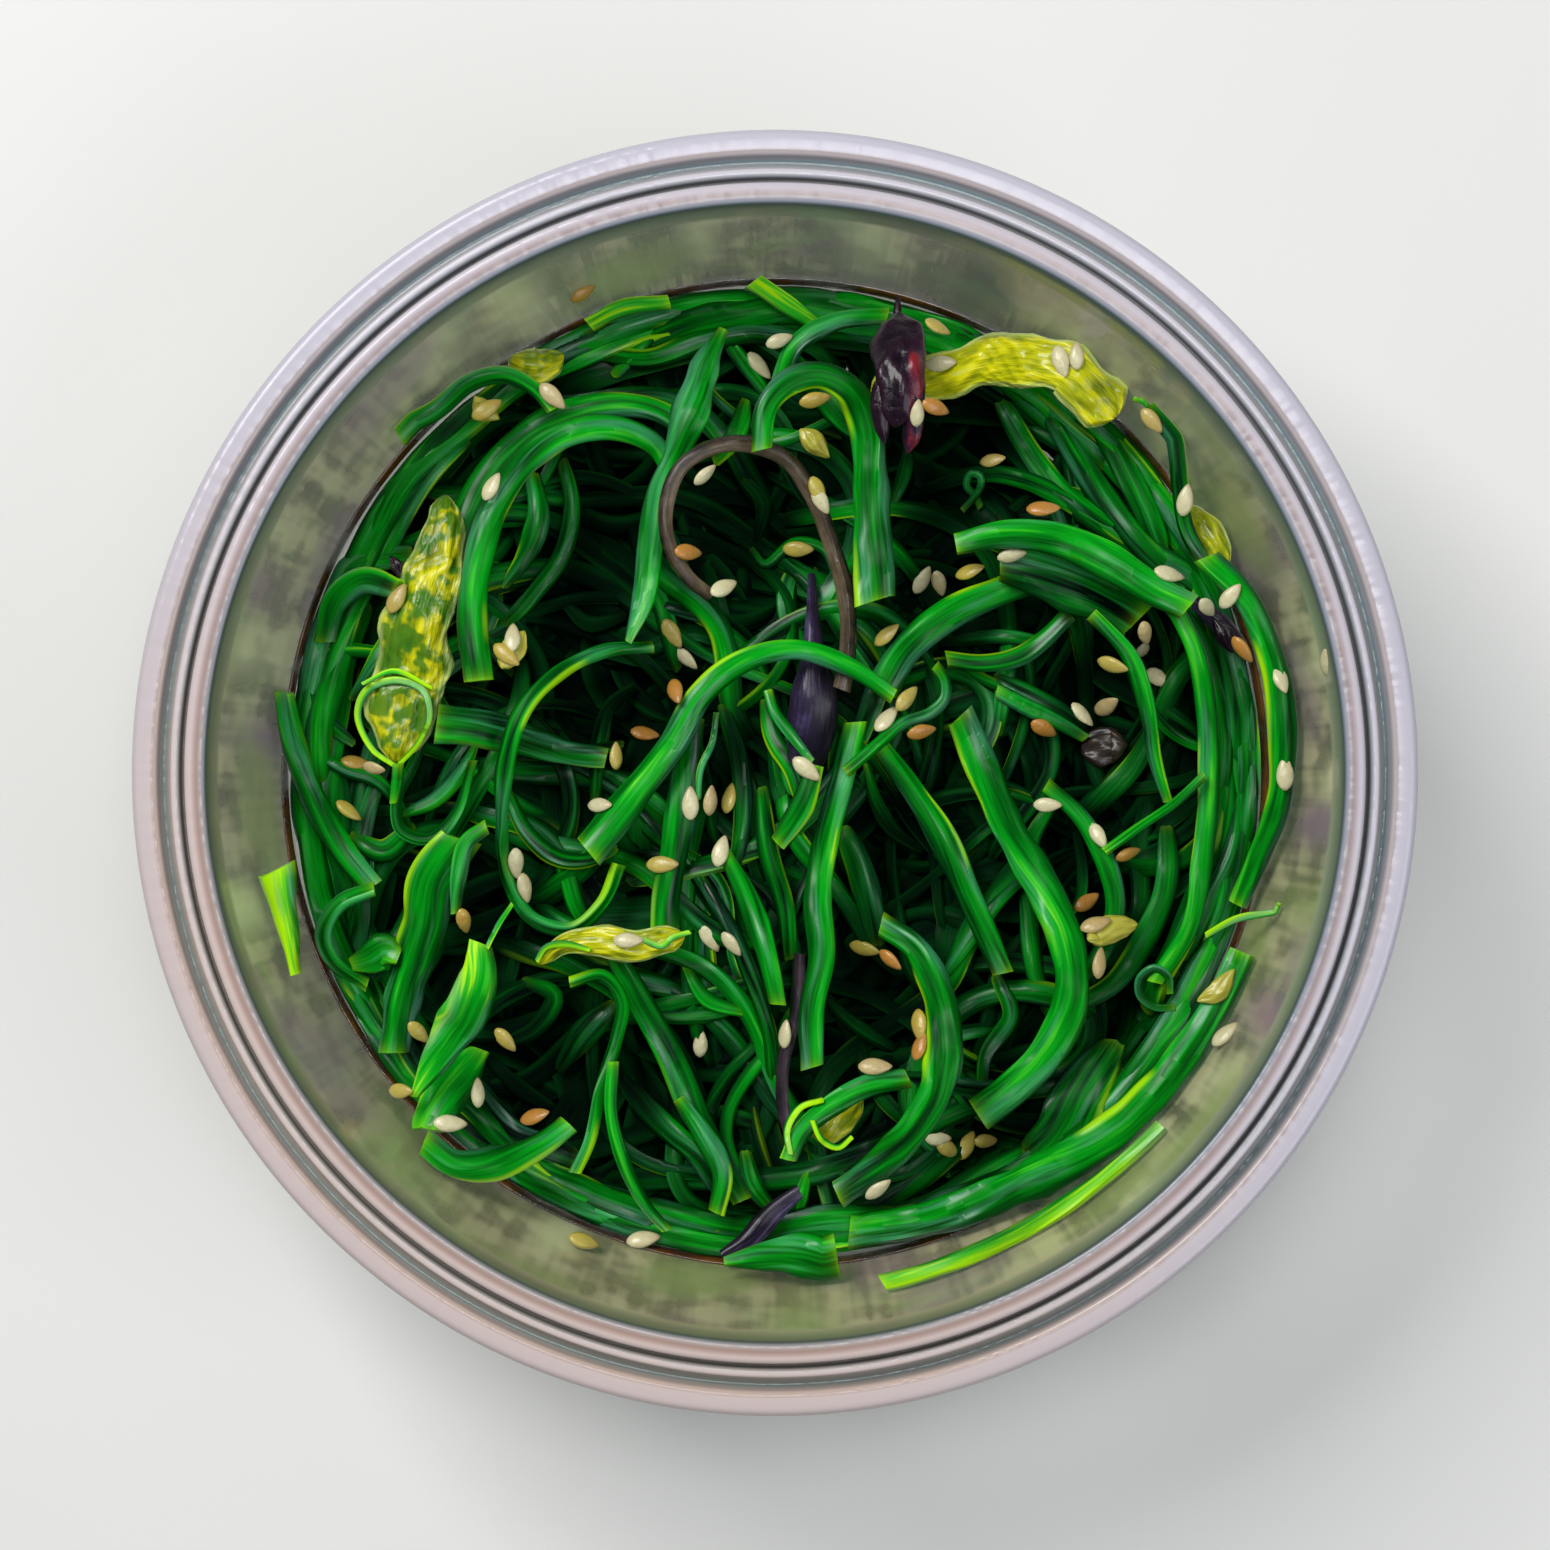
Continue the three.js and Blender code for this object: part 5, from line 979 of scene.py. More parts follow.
class JellySettings(bpy.types.PropertyGroup):
    # The fold colour is painted shade in the folds, the ridge colour a painted highlight on the pleats
    fold_shade: colour("Fold", "Jelly in its folds", (0.07, 0.11, 0.002))
    body: colour("Body", "Jelly's body", (0.36, 0.40, 0.002))
    ridge: colour("Ridge", "Jelly's pleats", (0.76, 0.72, 0.006))
    thin: colour("Thin", "Where the jelly is thin", (0.55, 0.70, 0.22))
    green: colour("Green", "Where seaweed shows through", (0.02, 0.17, 0.008))


class WoodEarSettings(bpy.types.PropertyGroup):
    # Dark is painted shade, violet a painted sheen and edge a painted highlight along the rolled edge
    dark: colour("Dark", "Skin in shade", (0.006, 0.005, 0.007))
    purple: colour("Purple", "Purple-black skin", (0.026, 0.016, 0.046))
    violet: colour("Violet", "Bluish sheen on the purple skin", (0.12, 0.10, 0.24))
    body: colour("Body", "Brown-grey skin", (0.080, 0.056, 0.032))
    edge: colour("Edge", "Paler rolled edge", (0.25, 0.19, 0.125))


class ChilliSettings(bpy.types.PropertyGroup):
    dark: colour("Dark", "Near black skin", (0.004, 0.001, 0.005))
    body: colour("Body", "Maroon skin", (0.030, 0.006, 0.022))
    red: colour("Red", "Redder folds and tip", (0.22, 0.012, 0.022))


class SesameSettings(bpy.types.PropertyGroup):
    length: FloatProperty(name="Length", description="Length of a seed in millimetres", default=3.0,
                          min=2, max=4)
    cream: colour("Cream", "Pale hull", (0.64, 0.60, 0.36))
    tan: colour("Tan", "Darker hull", (0.47, 0.34, 0.13))
    yellow: colour("Yellow", "Hull that took up dressing", (0.48, 0.40, 0.06))
    orange: colour("Orange", "Hull with chilli oil", (0.46, 0.20, 0.03))
    point: colour("Point", "The seed's pointed end", (0.30, 0.19, 0.08))


class DressingSettings(bpy.types.PropertyGroup):
    thick: colour("Thick", "Dressing where it is deep", (0.035, 0.008, 0.004))
    thin: colour("Thin", "Dressing where it is a film", (0.14, 0.055, 0.012))


class StageSettings(bpy.types.PropertyGroup):
    camera_height: FloatProperty(name="Camera height", description="Height of the camera above the rim",
                                 unit="LENGTH", default=0.38, min=0.1)
    frame_width: FloatProperty(name="Frame width", description="Width of the picture at the rim",
                               unit="LENGTH", default=0.1401, min=0.05)
    key: FloatProperty(name="Key light", description="Power of the main softbox in watts", default=4.6, min=0)
    fill: FloatProperty(name="Fill light", description="Power of the second softbox in watts",
                        default=1.5, min=0)
    sky: FloatProperty(name="Sky", description="Brightness of the room", default=0.16, min=0)


# The rim's rings from its outer edge inwards: distance in millimetres and colour. The colours are painted
# reflections and highlights of the clear rim, with painted shade in its grooves
RIM_PAINTED_LIGHT = (
    (0.0, (0.50, 0.48, 0.51)), (0.5, (0.56, 0.53, 0.58)), (1.7, (0.58, 0.54, 0.58)), (1.95, (0.44, 0.37, 0.36)),
    (2.2, (0.50, 0.43, 0.41)), (2.5, (0.32, 0.31, 0.31)), (2.8, (0.14, 0.20, 0.21)), (3.3, (0.26, 0.27, 0.26)),
    (3.6, (0.60, 0.55, 0.56)), (4.1, (0.62, 0.59, 0.62)), (4.4, (0.30, 0.30, 0.31)), (4.6, (0.09, 0.10, 0.10)),
    (4.9, (0.28, 0.26, 0.25)), (5.15, (0.58, 0.53, 0.55)), (5.6, (0.60, 0.54, 0.56)), (5.9, (0.46, 0.37, 0.37)),
    (6.15, (0.36, 0.28, 0.26)), (6.4, (0.40, 0.35, 0.36)), (6.7, (0.30, 0.32, 0.36)), (7.0, (0.05, 0.08, 0.07)),
    (7.25, (0.20, 0.24, 0.15)), (7.7, (0.40, 0.42, 0.28)),
)


def rounded(profile, radius, steps=4):
    """A profile whose corners are quadratic curves, each reaching at most a radius or 0.4 of its sides."""
    corners = np.asarray(profile, float)
    out = [corners[:1]]
    for before, corner, after in zip(corners[:-2], corners[1:-1], corners[2:]):
        to_before, to_after = before - corner, after - corner
        a = corner + to_before * min(0.4, radius / np.linalg.norm(to_before))
        b = corner + to_after * min(0.4, radius / np.linalg.norm(to_after))
        t = np.linspace(0, 1, steps + 1)[:, None]
        out.append((1 - t) ** 2 * a + 2 * t * (1 - t) * corner + t**2 * b)
    return np.vstack(out + [corners[-1:]])


def turned(profile, sides):
    """Points of a profile of radius and level turned about the upright axis, and its quads facing out."""
    angle = np.arange(sides) * 2 * math.pi / sides
    radius, level = profile[:, :1], profile[:, 1:]
    level = np.broadcast_to(level, (len(profile), sides))
    grid = np.concatenate([polar(radius, angle), level[..., None]], axis=-1)
    index = np.arange(len(profile) * sides).reshape(len(profile), sides)
    beside = np.roll(index, -1, axis=1)
    return grid, np.stack([index[:-1], beside[:-1], beside[1:], index[1:]], axis=-1).reshape(-1, 4)


def tub_profile():
    """Radius and level round the tub's section, from the middle of its underside to the middle of its floor."""
    def outside(level):
        return wall_radius(level) + WALL
    rim, top = RIM_RADIUS, TUB_HEIGHT
    return [
        (0, FLOOR_UNDERSIDE), (FOOT_INNER, FLOOR_UNDERSIDE), (FOOT_INNER + 0.6, 0), (outside(0.8) - 0.9, 0),
        (outside(1.4), 1.1), (outside(40.4), 40.4), (rim - 5.4, 41.5), (rim - 1.1, 41.6), (rim - 1.1, 39.8),
        (rim, 39.8), (rim, 43), (rim - 0.5, 43.5), (rim - 2.3, 43.5), (rim - 2.6, 42.6), (rim - 3.5, 42.6),
        (rim - 3.7, 44.3), (rim - 4.5, 44.3), (rim - 4.8, 43.5), (rim - 5.1, top), (rim - 6.8, top),
        (MOUTH_RADIUS + 0.3, top - 0.5), (MOUTH_RADIUS, MOUTH_LEVEL), (BASE_RADIUS, BASE_LEVEL),
        (BASE_RADIUS - 0.8, FLOOR_TOP), (0, FLOOR_TOP),
    ]


def wall_marks(places):
    """How strong each painted reflection is at the wall's points: a bell of the distance to the nearest mark of
    that tint.

    Green and purple also come and go round the wall, by the crests and troughs of three sines of angle and
    level.
    """
    angle, level = np.arctan2(places[:, 1], places[:, 0]), places[:, 2]
    wave = (0.5 * np.sin(5 * angle + 0.10 * level + 1.3) + 0.35 * np.sin(9 * angle - 0.2 * level + 4.0)
            + 0.25 * np.sin(14 * angle + 0.35 * level + 2.2))
    everywhere = {"green_tint": 0.6 * np.clip(2.5 * wave - 0.8, 0, 1),
                  "purple_tint": 0.4 * np.clip(-2.5 * wave - 0.8, 0, 1)}
    amounts = {}
    for tint, marks in WALL_MARKS.items():
        amounts[tint] = everywhere.get(tint, np.zeros(len(places)))
        for *spot, size, strength in marks:
            far = np.linalg.norm(places[:, :2] - to_mm(spot), axis=1)
            amounts[tint] = np.maximum(amounts[tint], strength * np.exp(-((far / (0.9 * size)) ** 2)))
    return amounts


def split_long(profile, longest):
    """Puts points on a profile's long straight sides."""
    out = [profile[:1]]
    for a, b in zip(profile[:-1], profile[1:]):
        count = max(1, int(math.ceil(np.linalg.norm(b - a) / longest)))
        out.append(a + (b - a) * (np.arange(1, count + 1) / count)[:, None])
    return np.vstack(out)


def pleated(points, halves, heights, rng, sides, waves, depth, wander=0.5, flat=1.0):
    """A soft closed body along a line whose skin is folded lengthwise.

    Each wave is one minus the size of a sine that runs along the body and wanders slowly round it, so the
    folds are sharp on top and round below. The oval section swells by them, its edges wander in and out by
    slow sines, and its ends close as a root of the distance to them.
    """
    run = run_of(points)
    _, across, up = frames_along(points, np.broadcast_to((0.0, 0.0, 1.0), points.shape))
    angle = (np.arange(sides) + 0.5) * 2 * math.pi / sides
    crinkle = np.zeros((len(points), sides))
    for lobes in waves:
        drift = wander * wobble(run, rng, rng.uniform(8, 16))[:, None]
        phase = rng.uniform(0, 2 * math.pi)
        crinkle += (1 - np.abs(np.sin(0.5 * lobes * angle[None, :] + drift * lobes * 0.5 + phase))) / len(waves)
    crinkle = (crinkle - crinkle.min()) / max(np.ptp(crinkle), 1e-9)
    swell = 1 + depth * (crinkle - 0.5)
    ends = np.minimum(1, np.sqrt(np.minimum(run, run[-1] - run) / 1.3 + 0.02))[:, None]
    left = 1 + 0.16 * wobble(run, rng, 7)[:, None]
    right = 1 + 0.16 * wobble(run, rng, 7)[:, None]
    cosine = np.cos(angle)[None, :]
    q = np.sign(cosine) * np.abs(cosine) ** flat
    sideways = halves[:, None] * q * np.where(cosine > 0, right, left) * ends * (1 + 0.12 * (swell - 1))
    upwards = heights[:, None] * np.sin(angle) * swell * (0.35 + 0.65 * ends)
    upwards += 0.3 * heights[:, None] * wobble(run, rng, 6)[:, None] * q**2
    grid = points[:, None, :] + across[:, None, :] * sideways[..., None] + up[:, None, :] * upwards[..., None]
    values = {"along": run[:, None], "across": sideways, "crinkle": crinkle, "rim": np.abs(q) ** 2,
              "pick": rng.uniform(0, 1)}
    return grid, values


class TubOperator(bpy.types.Operator):
    """Builds the clear tub with its stepped rim"""
    bl_idname = "salad.add_tub"
    bl_label = "Add the tub"

    def execute(self, context):
        look = context.scene.salad_tub
        profile = split_long(rounded(tub_profile(), look.fillet), 2.0)
        piece = new_piece("clear_tub", *turned(profile, look.sides), plastic_material(look))
        mesh = piece.data
        close_poles(mesh)
        mesh.set_sharp_from_angle(angle=math.radians(60))
        add_values(mesh, wall_marks(corners_of(mesh)))
        declare(piece, ["tub"])
        return {"FINISHED"}


def close_poles(mesh):
    """Merges the points that a turned profile leaves together on the axis."""
    shape = bmesh.new()
    shape.from_mesh(mesh)
    bmesh.ops.remove_doubles(shape, verts=shape.verts, dist=1e-7)
    bmesh.ops.recalc_face_normals(shape, faces=shape.faces)
    shape.to_mesh(mesh)
    shape.free()


def wakame_skin(context):
    return bpy.data.materials.get("wakame_skin") or wakame_material(context.scene.salad_wakame)


class FillingOperator(bpy.types.Operator):
    """Packs dark strips below the surface, and strips against the wall and on the floor"""
    bl_idname = "salad.add_filling"
    bl_label = "Add the packed strips"

    def execute(self, context):
        look = context.scene.salad_wakame
        material = wakame_skin(context)
        declare(self.core(material))
        declare(self.below(look.filling).build("wakame_packed_middle", material))
        declare(self.at_wall(look.at_wall).build("wakame_at_wall", material))
        declare(self.on_floor(look.on_floor).build("wakame_on_floor", material))
        return {"FINISHED"}

    def core(self, material):
        """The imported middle, turned from a profile inside the strips."""
        # Painted shade: the core lies far down, where the seaweed skin paints it near black
        profile = np.array([(0, 4.5), (36, 4.5), (wall_radius(12) - 4.5, 12), (wall_radius(17) - 5, 15),
                            (20, 16), (0, 16.2)], float)
        piece = new_piece("wakame_core", *turned(split_long(profile, 3), 48), material)
        close_poles(piece.data)
        return piece

    def below(self, count):
        """Strips laid one on another over the core, on an even spiral, each with a bend of its own."""
        skin = Skin()
        for k in range(count):
            rng = np.random.default_rng(1000 + k)
            heading = rng.uniform(0, 2 * math.pi)
            length = rng.uniform(16, 40)
            share = np.linspace(-0.5, 0.5, 40)
            way = heading + rng.uniform(-2.2, 2.2) * share + 0.5 * np.sin(share * rng.uniform(3, 9))
            flat = bent_line(polar(*even_disc(k, 42.5)), way, length)
            half = rng.uniform(1.0, 2.1)
            flat = inside_wall(flat, half, 15.0)
            level = RELIEF.rest(flat, half)
            cap = surface_cap(flat) - 2.2 + 0.7 * wobble(run_of(flat), rng, 20)
            level = tucked(np.minimum(level + 0.6, cap), run_of(flat), 1.5)
            points = respaced(np.column_stack([flat, level]), 0.8)
            # Painted shade: low tones keep these strips dark, as they lie in the shade below the surface
            grid, values = blade(points, narrowed(half, run_of(points)), rng.uniform(1.0, 1.5), rng, roll=0.7,
                                 sides=10, turn=rng.uniform(-0.5, 0.5), tone=rng.uniform(0.05, 0.3))
            skin.lay(grid, values)
        return skin

    def at_wall(self, count):
        """Strips that follow the wall: angle and level change evenly, and the radius is the wall's there."""
        skin = Skin()
        for k in range(count):
            rng = np.random.default_rng(3000 + k)
            depth = 0.0 if k % 3 else 1.5
            turn = rng.uniform(0.25, 1.0) * rng.choice([-1, 1])
            share = np.linspace(0, 1, 44)
            start = k * GOLDEN_TURN
            low, high = rng.uniform(4.0, 24.0, 2)
            high = low + (high - low) * rng.uniform(0.2, 1)
            level = low + (high - low) * share + 1.2 * wobble(share * 30, rng, 18)
            half = rng.uniform(0.9, 2.0)
            level = np.clip(level, 2.6 + half, 25.2)
            angle = start + turn * share + 0.03 * wobble(share * 30, rng, 12)
            thickness = rng.uniform(0.9, 1.4)
            radius = wall_radius(level - half) - CLEAR_OF_WALL - thickness / 2 - depth
            points = respaced(np.column_stack([polar(radius, angle), level]), 0.75)
            inward = -unit(points * [1, 1, 0])
            grid, values = blade(points, np.full(len(points), half), thickness, rng, facing=inward, roll=0.08,
                                 sides=10, tone=rng.uniform(0.15, 0.6))
            skin.add(grid, values)
        return skin

    def on_floor(self, count):
        """Strips that lie on the tub's floor, on an even spiral."""
        skin = Skin()
        for k in range(count):
            rng = np.random.default_rng(5000 + k)
            heading = rng.uniform(0, 2 * math.pi)
            way = heading + rng.uniform(-2, 2) * np.linspace(-0.5, 0.5, 30)
            middle = polar(36 * math.sqrt((k + 0.5) / count), k * GOLDEN_TURN)
            flat = bent_line(middle, way, rng.uniform(12, 26))
            half = rng.uniform(1.1, 2.0)
            flat = inside_wall(flat, half, BASE_LEVEL - 4)
            level = FLOOR_TOP + 0.8 + (k % 3) * 0.7 + 0.2 * wobble(run_of(flat), rng, 15)
            points = respaced(np.column_stack([flat, level]), 0.8)
            grid, values = blade(points, np.full(len(points), half), 1.0, rng, roll=0.1, sides=10,
                                 tone=rng.uniform(0.12, 0.5))
            skin.add(grid, values)
        return skin


class BedOperator(bpy.types.Operator):
    """Lays the traced strips of the bed"""
    bl_idname = "salad.add_bed"
    bl_label = "Add the bed"

    def execute(self, context):
        skin = Skin()
        self.strands(skin, context.scene.salad_wakame.strands)
        self.edge(skin, context.scene.salad_wakame.edge)
        for k, (widths, tone, route) in enumerate(BED_STRIPS):
            rng = np.random.default_rng(7000 + k)
            flat = spline(to_mm(route), 0.45)
            halves = widths_at(widths, len(flat))
            flat = inside_wall(flat, halves, BED_TOP + 1)
            thickness = np.clip(0.55 * 2 * halves, 1.1, 1.9)
            level = RELIEF.rest(flat, float(halves.mean()))
            crown = crown_level(flat[:, 0], flat[:, 1])
            level = smoothed(np.minimum(level + 0.4 * thickness, crown + 1.3), run_of(flat), 1.2)
            level = tucked(level, run_of(flat), 1.3)
            grid, values = blade(np.column_stack([flat, level]), narrowed(halves, run_of(flat), 0.35),
                                 thickness, rng, roll=0.4, ruffle=0.1 if max(widths) > WIDE else 0.03,
                                 tone=0.16 + 0.85 * tone)
            skin.lay(grid, values)
        declare(skin.build("wakame_bed_strips", wakame_skin(context)), ["wakame_bed"])
        return {"FINISHED"}

    def strands(self, skin, count):
        """Thin strands on an even spiral: upright in the picture at the middle and along the wall near it."""
        for k in range(count):
            rng = np.random.default_rng(8000 + k)
            radius, angle = even_disc(k, 43, 0.3, 0.7)
            middle = polar(radius, angle)
            if np.linalg.norm(to_mm(GAPS) - middle, axis=1).min() < 0.8 * GAP_REACH:
                continue
            round_wall = angle + math.pi / 2
            upright = math.pi / 2 + 0.35 * math.sin(angle)
            share = min(1.0, (radius / 40) ** 2)
            heading = (1 - share) * upright + share * round_wall + rng.uniform(-0.7, 0.7)
            steps = np.linspace(-0.5, 0.5, 60)
            way = heading + rng.uniform(-2.4, 2.4) * steps + 0.5 * np.sin(rng.uniform(3, 8) * steps)
            flat = bent_line(middle, way, rng.uniform(18, 42))
            half = rng.uniform(0.5, 1.25)
            flat = respaced(inside_wall(flat, half, BED_TOP + 1), 0.6)
            level = RELIEF.rest(flat, half) + 0.3
            level = smoothed(np.minimum(level, surface_cap(flat) + 0.4), run_of(flat), 1.2)
            level = tucked(level, run_of(flat), 2.0)
            grid, values = blade(np.column_stack([flat, level]), narrowed(half, run_of(flat)), 1.3 * half, rng,
                                 roll=0.7, sides=8, ridges=1.5, tone=rng.uniform(0.18, 0.5))
            skin.lay(grid, values)

    def edge(self, skin, count):
        """Strips along the salad's edge: each keeps a distance from the wall while its level wanders."""
        for k in range(count):
            rng = np.random.default_rng(8500 + k)
            share = np.linspace(0, 1, 50)
            angle = k * GOLDEN_TURN + rng.uniform(0.3, 0.8) * share
            outer = k % 2 == 0
            level = rng.uniform(23.9 if outer else 22.8, 25.0) + 0.4 * wobble(share * 30, rng, 20)
            half = rng.uniform(0.7, 1.5)
            inset, sway = rng.uniform(0, 0.5 if outer else 3.2), 0.1 if outer else 0.5
            inset = inset + sway * wobble(share * 30, rng, 24)
            radius = wall_radius(level) - CLEAR_OF_WALL - half - np.maximum(inset, 0)
            points = respaced(np.column_stack([polar(radius, angle), level]), 0.7)
            points[:, 2] = tucked(points[:, 2], run_of(points), 1.5)
            points[:, :2] = inside_wall(points[:, :2], half, points[:, 2])
            grid, values = blade(points, narrowed(half, run_of(points)), 1.1 * half, rng, roll=0.5, sides=8,
                                 turn=rng.uniform(-0.6, 0.4), tone=rng.uniform(0.2, 0.65))
            skin.lay(grid, values)


def rows_of(kind):
    """The rows of one kind of piece on top: place in the table, name, widths, tone and route."""
    return [(k, row[0], *row[2:]) for k, row in enumerate(TOP_PIECES) if row[1] == kind]


# How many of the strips on top share one mesh
GROUP = 8

# Strips that stand on their edge, and how far they are turned, in radians
STANDING = {"big_c": 0.9, "thread_loop": 0.7, "ribbon_loop": 0.7, "thin_arc_low": 0.6, "second_c": 0.7}


class TopOperator(bpy.types.Operator):
    """Builds the seaweed strips that lie on top, each where its node is"""
    bl_idname = "salad.add_top"
    bl_label = "Add the strips on top"

    def execute(self, context):
        rows = rows_of("strip")
        for first in range(0, len(rows), GROUP):
            skin = Skin()
            group = rows[first:first + GROUP]
            for k, name, widths, tone, route in group:
                rng = np.random.default_rng(9000 + k)
                points, halves = traced(name, widths, route)
                thickness = np.clip(0.55 * 2 * halves, 1.0, 2.0)
                grid, values = blade(points, halves, thickness, rng, roll=0.5, sides=16,
                                     ridges=rng.choice([2.0, 2.5, 3.0, 3.5]), tone=tone,
                                     ruffle=0.14 if max(widths) > WIDE else 0.03, turn=STANDING.get(name, 0.0))
                skin.lay(grid, values)
            piece = skin.build(f"wakame_strips_{first // GROUP + 1}", wakame_skin(context))
            declare(piece, [row[1] for row in group])
        return {"FINISHED"}


# How far the ends of a strip of wood ear run under their neighbours, in millimetres
SUNK = {"wood_ear_deep": 3.0}


class WoodEarOperator(bpy.types.Operator):
    """Builds the strips of wood ear"""
    bl_idname = "salad.add_wood_ear"
    bl_label = "Add the wood ear"

    def execute(self, context):
        material = wood_ear_material(context.scene.salad_wood_ear)
        skin = Skin()
        rows = rows_of("wood_ear")
        for k, name, widths, tone, route in rows:
            rng = np.random.default_rng(11000 + k)
            points, halves = traced(name, widths, route)
            points[:, 2] = tucked(points[:, 2], run_of(points), SUNK.get(name, 0.0), 2.5)
            thickness = np.minimum(2.3, 1.7 * halves)
            grid, values = blade(points, halves, thickness, rng, roll=0.12, sides=16, ridges=1.0, tone=tone)
            skin.lay(grid, values)
        declare(skin.build("wood_ear_strips", material), [row[1] for row in rows])
        return {"FINISHED"}


class JellyOperator(bpy.types.Operator):
    """Builds the crinkled pieces of agar jelly"""
    bl_idname = "salad.add_jelly"
    bl_label = "Add the jelly"

    def execute(self, context):
        material = jelly_material(context.scene.salad_jelly)
        skin = Skin()
        rows = rows_of("jelly")
        for k, name, widths, tone, route in rows:
            rng = np.random.default_rng(13000 + k)
            points, halves = traced(name, widths, route, 0.3)
            heights = np.minimum(1.25, 0.7 * halves)
            grid, values = pleated(points, 1.12 * halves, heights, rng, 48, (3, 5, 8, 11), 0.75, 0.8, 0.8)
            values["tone"] = tone
            skin.lay(grid, values)
        declare(skin.build("agar_jelly_pieces", material, 80), [row[1] for row in rows])
        return {"FINISHED"}


# The chilli's stem, pod and two lobes: route, then widths at even stations, in pixels
CHILLI_LOBES = (
    ([[898, 296], [897, 310], [898, 324]], [6, 8, 13]),
    ([[898, 314], [899, 345], [899, 375], [897, 405], [894, 432]], [16, 42, 52, 57, 57, 54, 46, 36, 22]),
    ([[908, 375], [912, 405], [911, 435], [905, 458]], [24, 28, 25, 21, 17, 9]),
    ([[886, 375], [882, 405], [881, 430], [884, 449]], [22, 26, 24, 18, 9]),
)


class ChilliOperator(bpy.types.Operator):
    """Builds the dried chilli with its two lobes and its stem end"""
    bl_idname = "salad.add_chilli"
    bl_label = "Add the chilli"

    def execute(self, context):
        material = chilli_material(context.scene.salad_chilli)
        skin = Skin()
        rng = np.random.default_rng(17)
        for route, widths in CHILLI_LOBES:
            flat = spline(to_mm(route), 0.25)
            level = node_levels(flat, "chilli")
            halves = widths_at(widths, len(flat))
            points = np.column_stack([flat, level])
            grid, values = pleated(points, halves, 0.62 * halves, rng, 36, (3, 5, 7), 0.4, 0.5)
            skin.lay(grid, values)
        declare(skin.build("dried_chilli", material, 80), ["chilli"])
        return {"FINISHED"}


class BitsOperator(bpy.types.Operator):
    """Adds the small bits on top, each on what lies under it"""
    bl_idname = "salad.add_bits"
    bl_label = "Add the small bits"

    def execute(self, context):
        skins = {"strip": Skin(), "jelly": Skin(), "brown": Skin(), "red": Skin()}
        for k, (kind, widths, tone, route) in enumerate(BITS):
            rng = np.random.default_rng(15000 + k)
            flat = spline(to_mm(route), 0.3)
            halves = widths_at(widths, len(flat))
            flat = inside_wall(flat, halves, 34.0)
            radius = np.linalg.norm(flat, axis=1) + halves + CLEAR_OF_WALL
            level = np.maximum(RELIEF.rest(flat, max(0.6, 0.6 * halves.mean())), wall_level(radius))
            points = np.column_stack([flat, level])
            if kind == "strip":
                grid, values = blade(points, halves, 1.1 * halves, rng, sides=12, tone=tone)
            else:
                grid, values = pleated(points, halves, 0.6 * halves, rng, 32, (3, 5, 8), 0.8, 0.8)
                values["tone"] = tone
            skins[kind].lay(grid, values)
        slots = {"strip": ("wakame_skin", "wakame"), "jelly": ("agar_jelly", "agar_jelly"),
                 "brown": ("wood_ear_skin", "wood_ear"), "red": ("chilli_skin", "dried_chilli")}
        for kind, (material, slot) in slots.items():
            declare(skins[kind].build(f"bits_{kind}", bpy.data.materials[material], 80))
        return {"FINISHED"}


class SesameOperator(bpy.types.Operator):
    """Scatters the traced sesame seeds on what they lie on"""
    bl_idname = "salad.add_sesame"
    bl_label = "Add the sesame"

    def execute(self, context):
        look = context.scene.salad_sesame
        skin = Skin()
        for k, (px, py, degrees, hue) in enumerate(SESAME):
            rng = np.random.default_rng(19000 + k)
            x, y = to_mm([px, py])
            level, slope = RELIEF.at(x, y, 1.1)
            size = look.length * rng.uniform(0.9, 1.12)
            grid, values = self.seed(size, np.clip(hue + rng.uniform(-0.08, 0.08), 0, 1))
            heading = math.radians(degrees)
            ahead = np.array([math.cos(heading), math.sin(heading), 0])
            up = unit(np.array([-slope[0], -slope[1], 1.0]))
            ahead = unit(ahead - up * (ahead @ up))
            turned_grid = (grid[..., :1] * ahead + grid[..., 1:2] * np.cross(up, ahead) + grid[..., 2:] * up
                           + np.array([x, y, level + 0.28]))
            over = turned_grid[..., 2].max() - (TUB_HEIGHT - 1)
            turned_grid[..., 2] -= max(0.0, over)
            skin.add(turned_grid, values)
        declare(skin.build("sesame_seeds", sesame_material(look), 80))
        return {"FINISHED"}

    def seed(self, length, hue):
        """A seed along X: its half width is a sine along it, drawn in towards the point, and its height 0.5 of
        that."""
        share = np.linspace(0.02, 0.98, 11)[:, None]
        width = 0.31 * length * np.sin(math.pi * share) ** 0.6 * (1 - 0.4 * share)
        angle = (np.arange(12) + 0.5) * 2 * math.pi / 12
        grid = np.stack([np.broadcast_to((share - 0.45) * length, (11, 12)), width * np.cos(angle),
                         0.5 * width * np.sin(angle)], axis=-1)
        return grid, {"rim": share**3, "pick": hue}


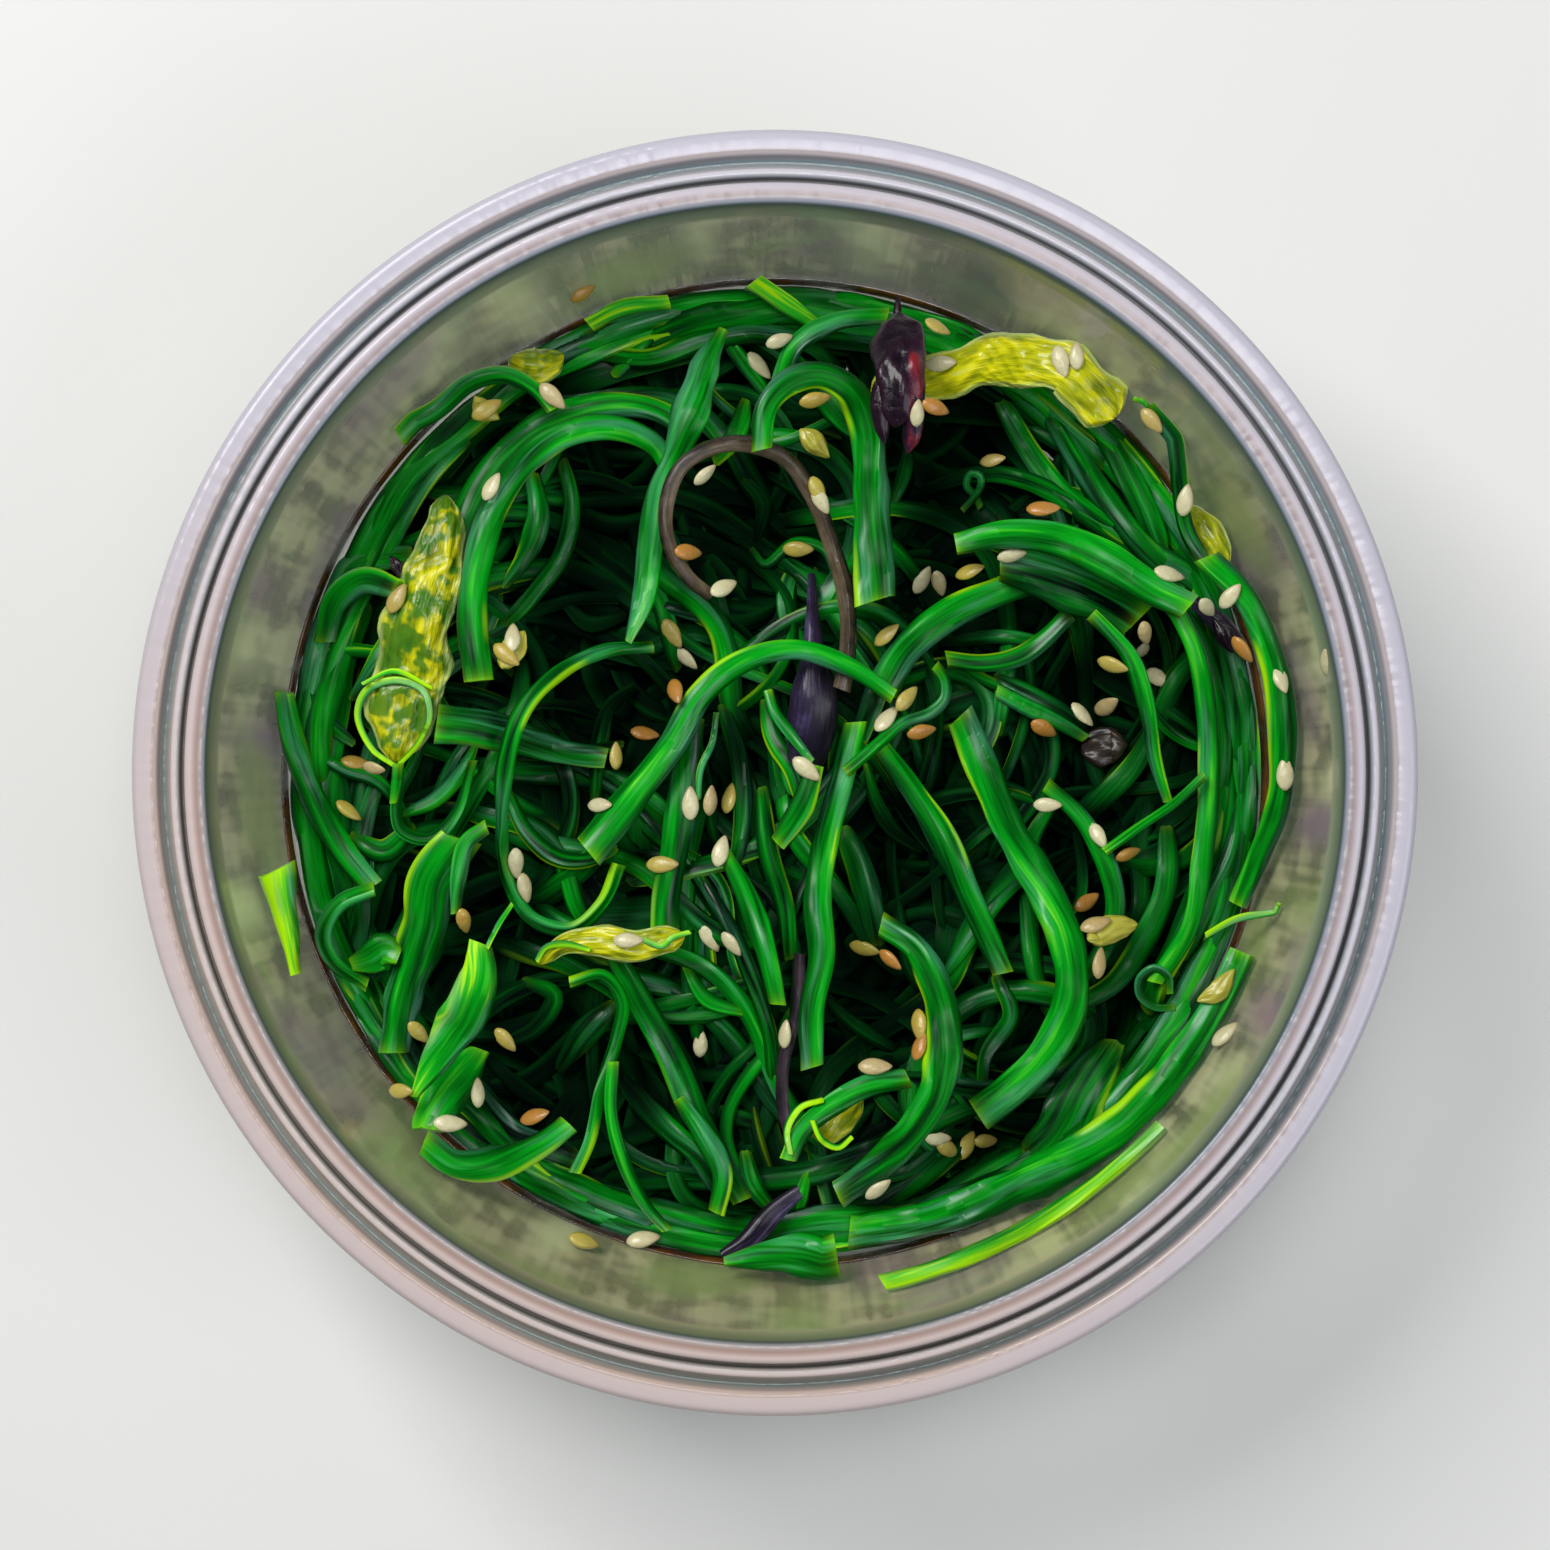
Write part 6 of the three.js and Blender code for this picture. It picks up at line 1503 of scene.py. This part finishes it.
class DressingOperator(bpy.types.Operator):
    """Adds the film of dressing where the salad meets the wall"""
    bl_idname = "salad.add_dressing"
    bl_label = "Add the dressing"

    def execute(self, context):
        look = context.scene.salad_dressing
        angle = np.linspace(0, 2 * math.pi, 361)[:-1]
        wave = np.zeros_like(angle)
        rng = np.random.default_rng(23)
        for waves in (2, 3, 5, 8, 13):
            wave += np.sin(waves * angle + rng.uniform(0, 6)) / waves
        top = DRESSING_LEVEL + 0.4 * wave
        rows = [top - 1.9, top - 0.8, top, top - 0.5, top - 1.2]
        insets = [0.08, 0.08, 0.12, 0.24, 0.4]
        radius = [wall_radius(level) - inset for level, inset in zip(rows, insets)]
        grid = np.stack([np.column_stack([polar(r, angle), level]) for r, level in zip(radius, rows)])
        index = np.arange(5 * 360).reshape(5, 360)
        closed = np.vstack([index, index[:1]])
        beside = np.roll(closed, -1, axis=1)
        faces = np.stack([closed[:-1], beside[:-1], beside[1:], closed[1:]], axis=-1).reshape(-1, 4)
        declare(new_piece("dressing_film", grid, faces, dressing_material(look)))
        return {"FINISHED"}


class StageOperator(bpy.types.Operator):
    """Sets the pale floor, the soft lights and the camera"""
    bl_idname = "salad.set_stage"
    bl_label = "Set the stage"

    def execute(self, context):
        look = context.scene.salad_stage
        self.camera(context, look)
        half = 900
        corners = [(-half, -half, 0), (half, -half, 0), (half, half, 0), (-half, half, 0)]
        new_piece("floor", corners, [(0, 1, 2, 3)], floor_material())
        self.softbox("key_light", (-0.30, 0.34, 0.62), 0.34, look.key, (1.0, 0.99, 0.97))
        self.softbox("fill_light", (0.42, -0.22, 0.55), 0.42, look.fill, (0.93, 0.97, 1.0))
        self.softbox("top_light", (0.05, 0.12, 0.95), 0.22, look.fill, (0.95, 0.98, 1.0))
        world = bpy.data.worlds.new("studio")
        context.scene.world = world
        world.use_nodes = True
        background = world.node_tree.nodes["Background"]
        background.inputs["Color"].default_value = (0.92, 0.96, 1.0, 1)
        background.inputs["Strength"].default_value = look.sky
        context.scene.view_settings.view_transform = "Standard"
        context.scene.view_settings.look = "None"
        return {"FINISHED"}

    def camera(self, context, look):
        data = bpy.data.cameras.new("camera")
        data.sensor_width = 36
        data.lens = 36 * look.camera_height / look.frame_width
        camera = bpy.data.objects.new("camera", data)
        middle = (IMAGE_SIZE / 2 - PICTURE_CENTRE) * [1, -1] * look.frame_width / IMAGE_SIZE
        camera.location = (middle[0], middle[1], TUB_HEIGHT * MM + look.camera_height)
        context.scene.collection.objects.link(camera)
        context.scene.camera = camera

    def softbox(self, name, place, size, power, tint):
        data = bpy.data.lights.new(name, "AREA")
        data.energy, data.size, data.color = power, size, tint
        light = bpy.data.objects.new(name, data)
        light.location = place
        aim = Vector((0, 0, 0.03)) - Vector(place)
        light.rotation_euler = aim.to_track_quat("-Z", "Y").to_euler()
        bpy.context.scene.collection.objects.link(light)


GROUPS = {
    "salad_tub": TubSettings, "salad_wakame": WakameSettings, "salad_jelly": JellySettings,
    "salad_wood_ear": WoodEarSettings, "salad_chilli": ChilliSettings, "salad_sesame": SesameSettings,
    "salad_dressing": DressingSettings, "salad_stage": StageSettings,
}
OPERATORS = (TubOperator, FillingOperator, BedOperator, JellyOperator, WoodEarOperator, TopOperator,
             ChilliOperator, BitsOperator, SesameOperator, DressingOperator, StageOperator)


class SaladPanel(bpy.types.Panel):
    bl_label = "Wakame salad tub"
    bl_idname = "VIEW3D_PT_salad"
    bl_space_type = "VIEW_3D"
    bl_region_type = "UI"
    bl_category = "Salad"

    def draw(self, context):
        for operator in OPERATORS:
            self.layout.operator(operator.bl_idname)
        for key, group in GROUPS.items():
            for name in group.__annotations__:
                self.layout.prop(getattr(context.scene, key), name)


def register():
    for group in GROUPS.values():
        bpy.utils.register_class(group)
    for key, group in GROUPS.items():
        setattr(bpy.types.Scene, key, PointerProperty(type=group))
    for item in (*OPERATORS, SaladPanel):
        bpy.utils.register_class(item)


def unregister():
    for item in (SaladPanel, *OPERATORS):
        bpy.utils.unregister_class(item)
    for key, group in GROUPS.items():
        delattr(bpy.types.Scene, key)
        bpy.utils.unregister_class(group)


def main():
    register()
    for operator in OPERATORS:
        category, name = operator.bl_idname.split(".")
        getattr(getattr(bpy.ops, category), name)()


if __name__ == "__main__":
    main()
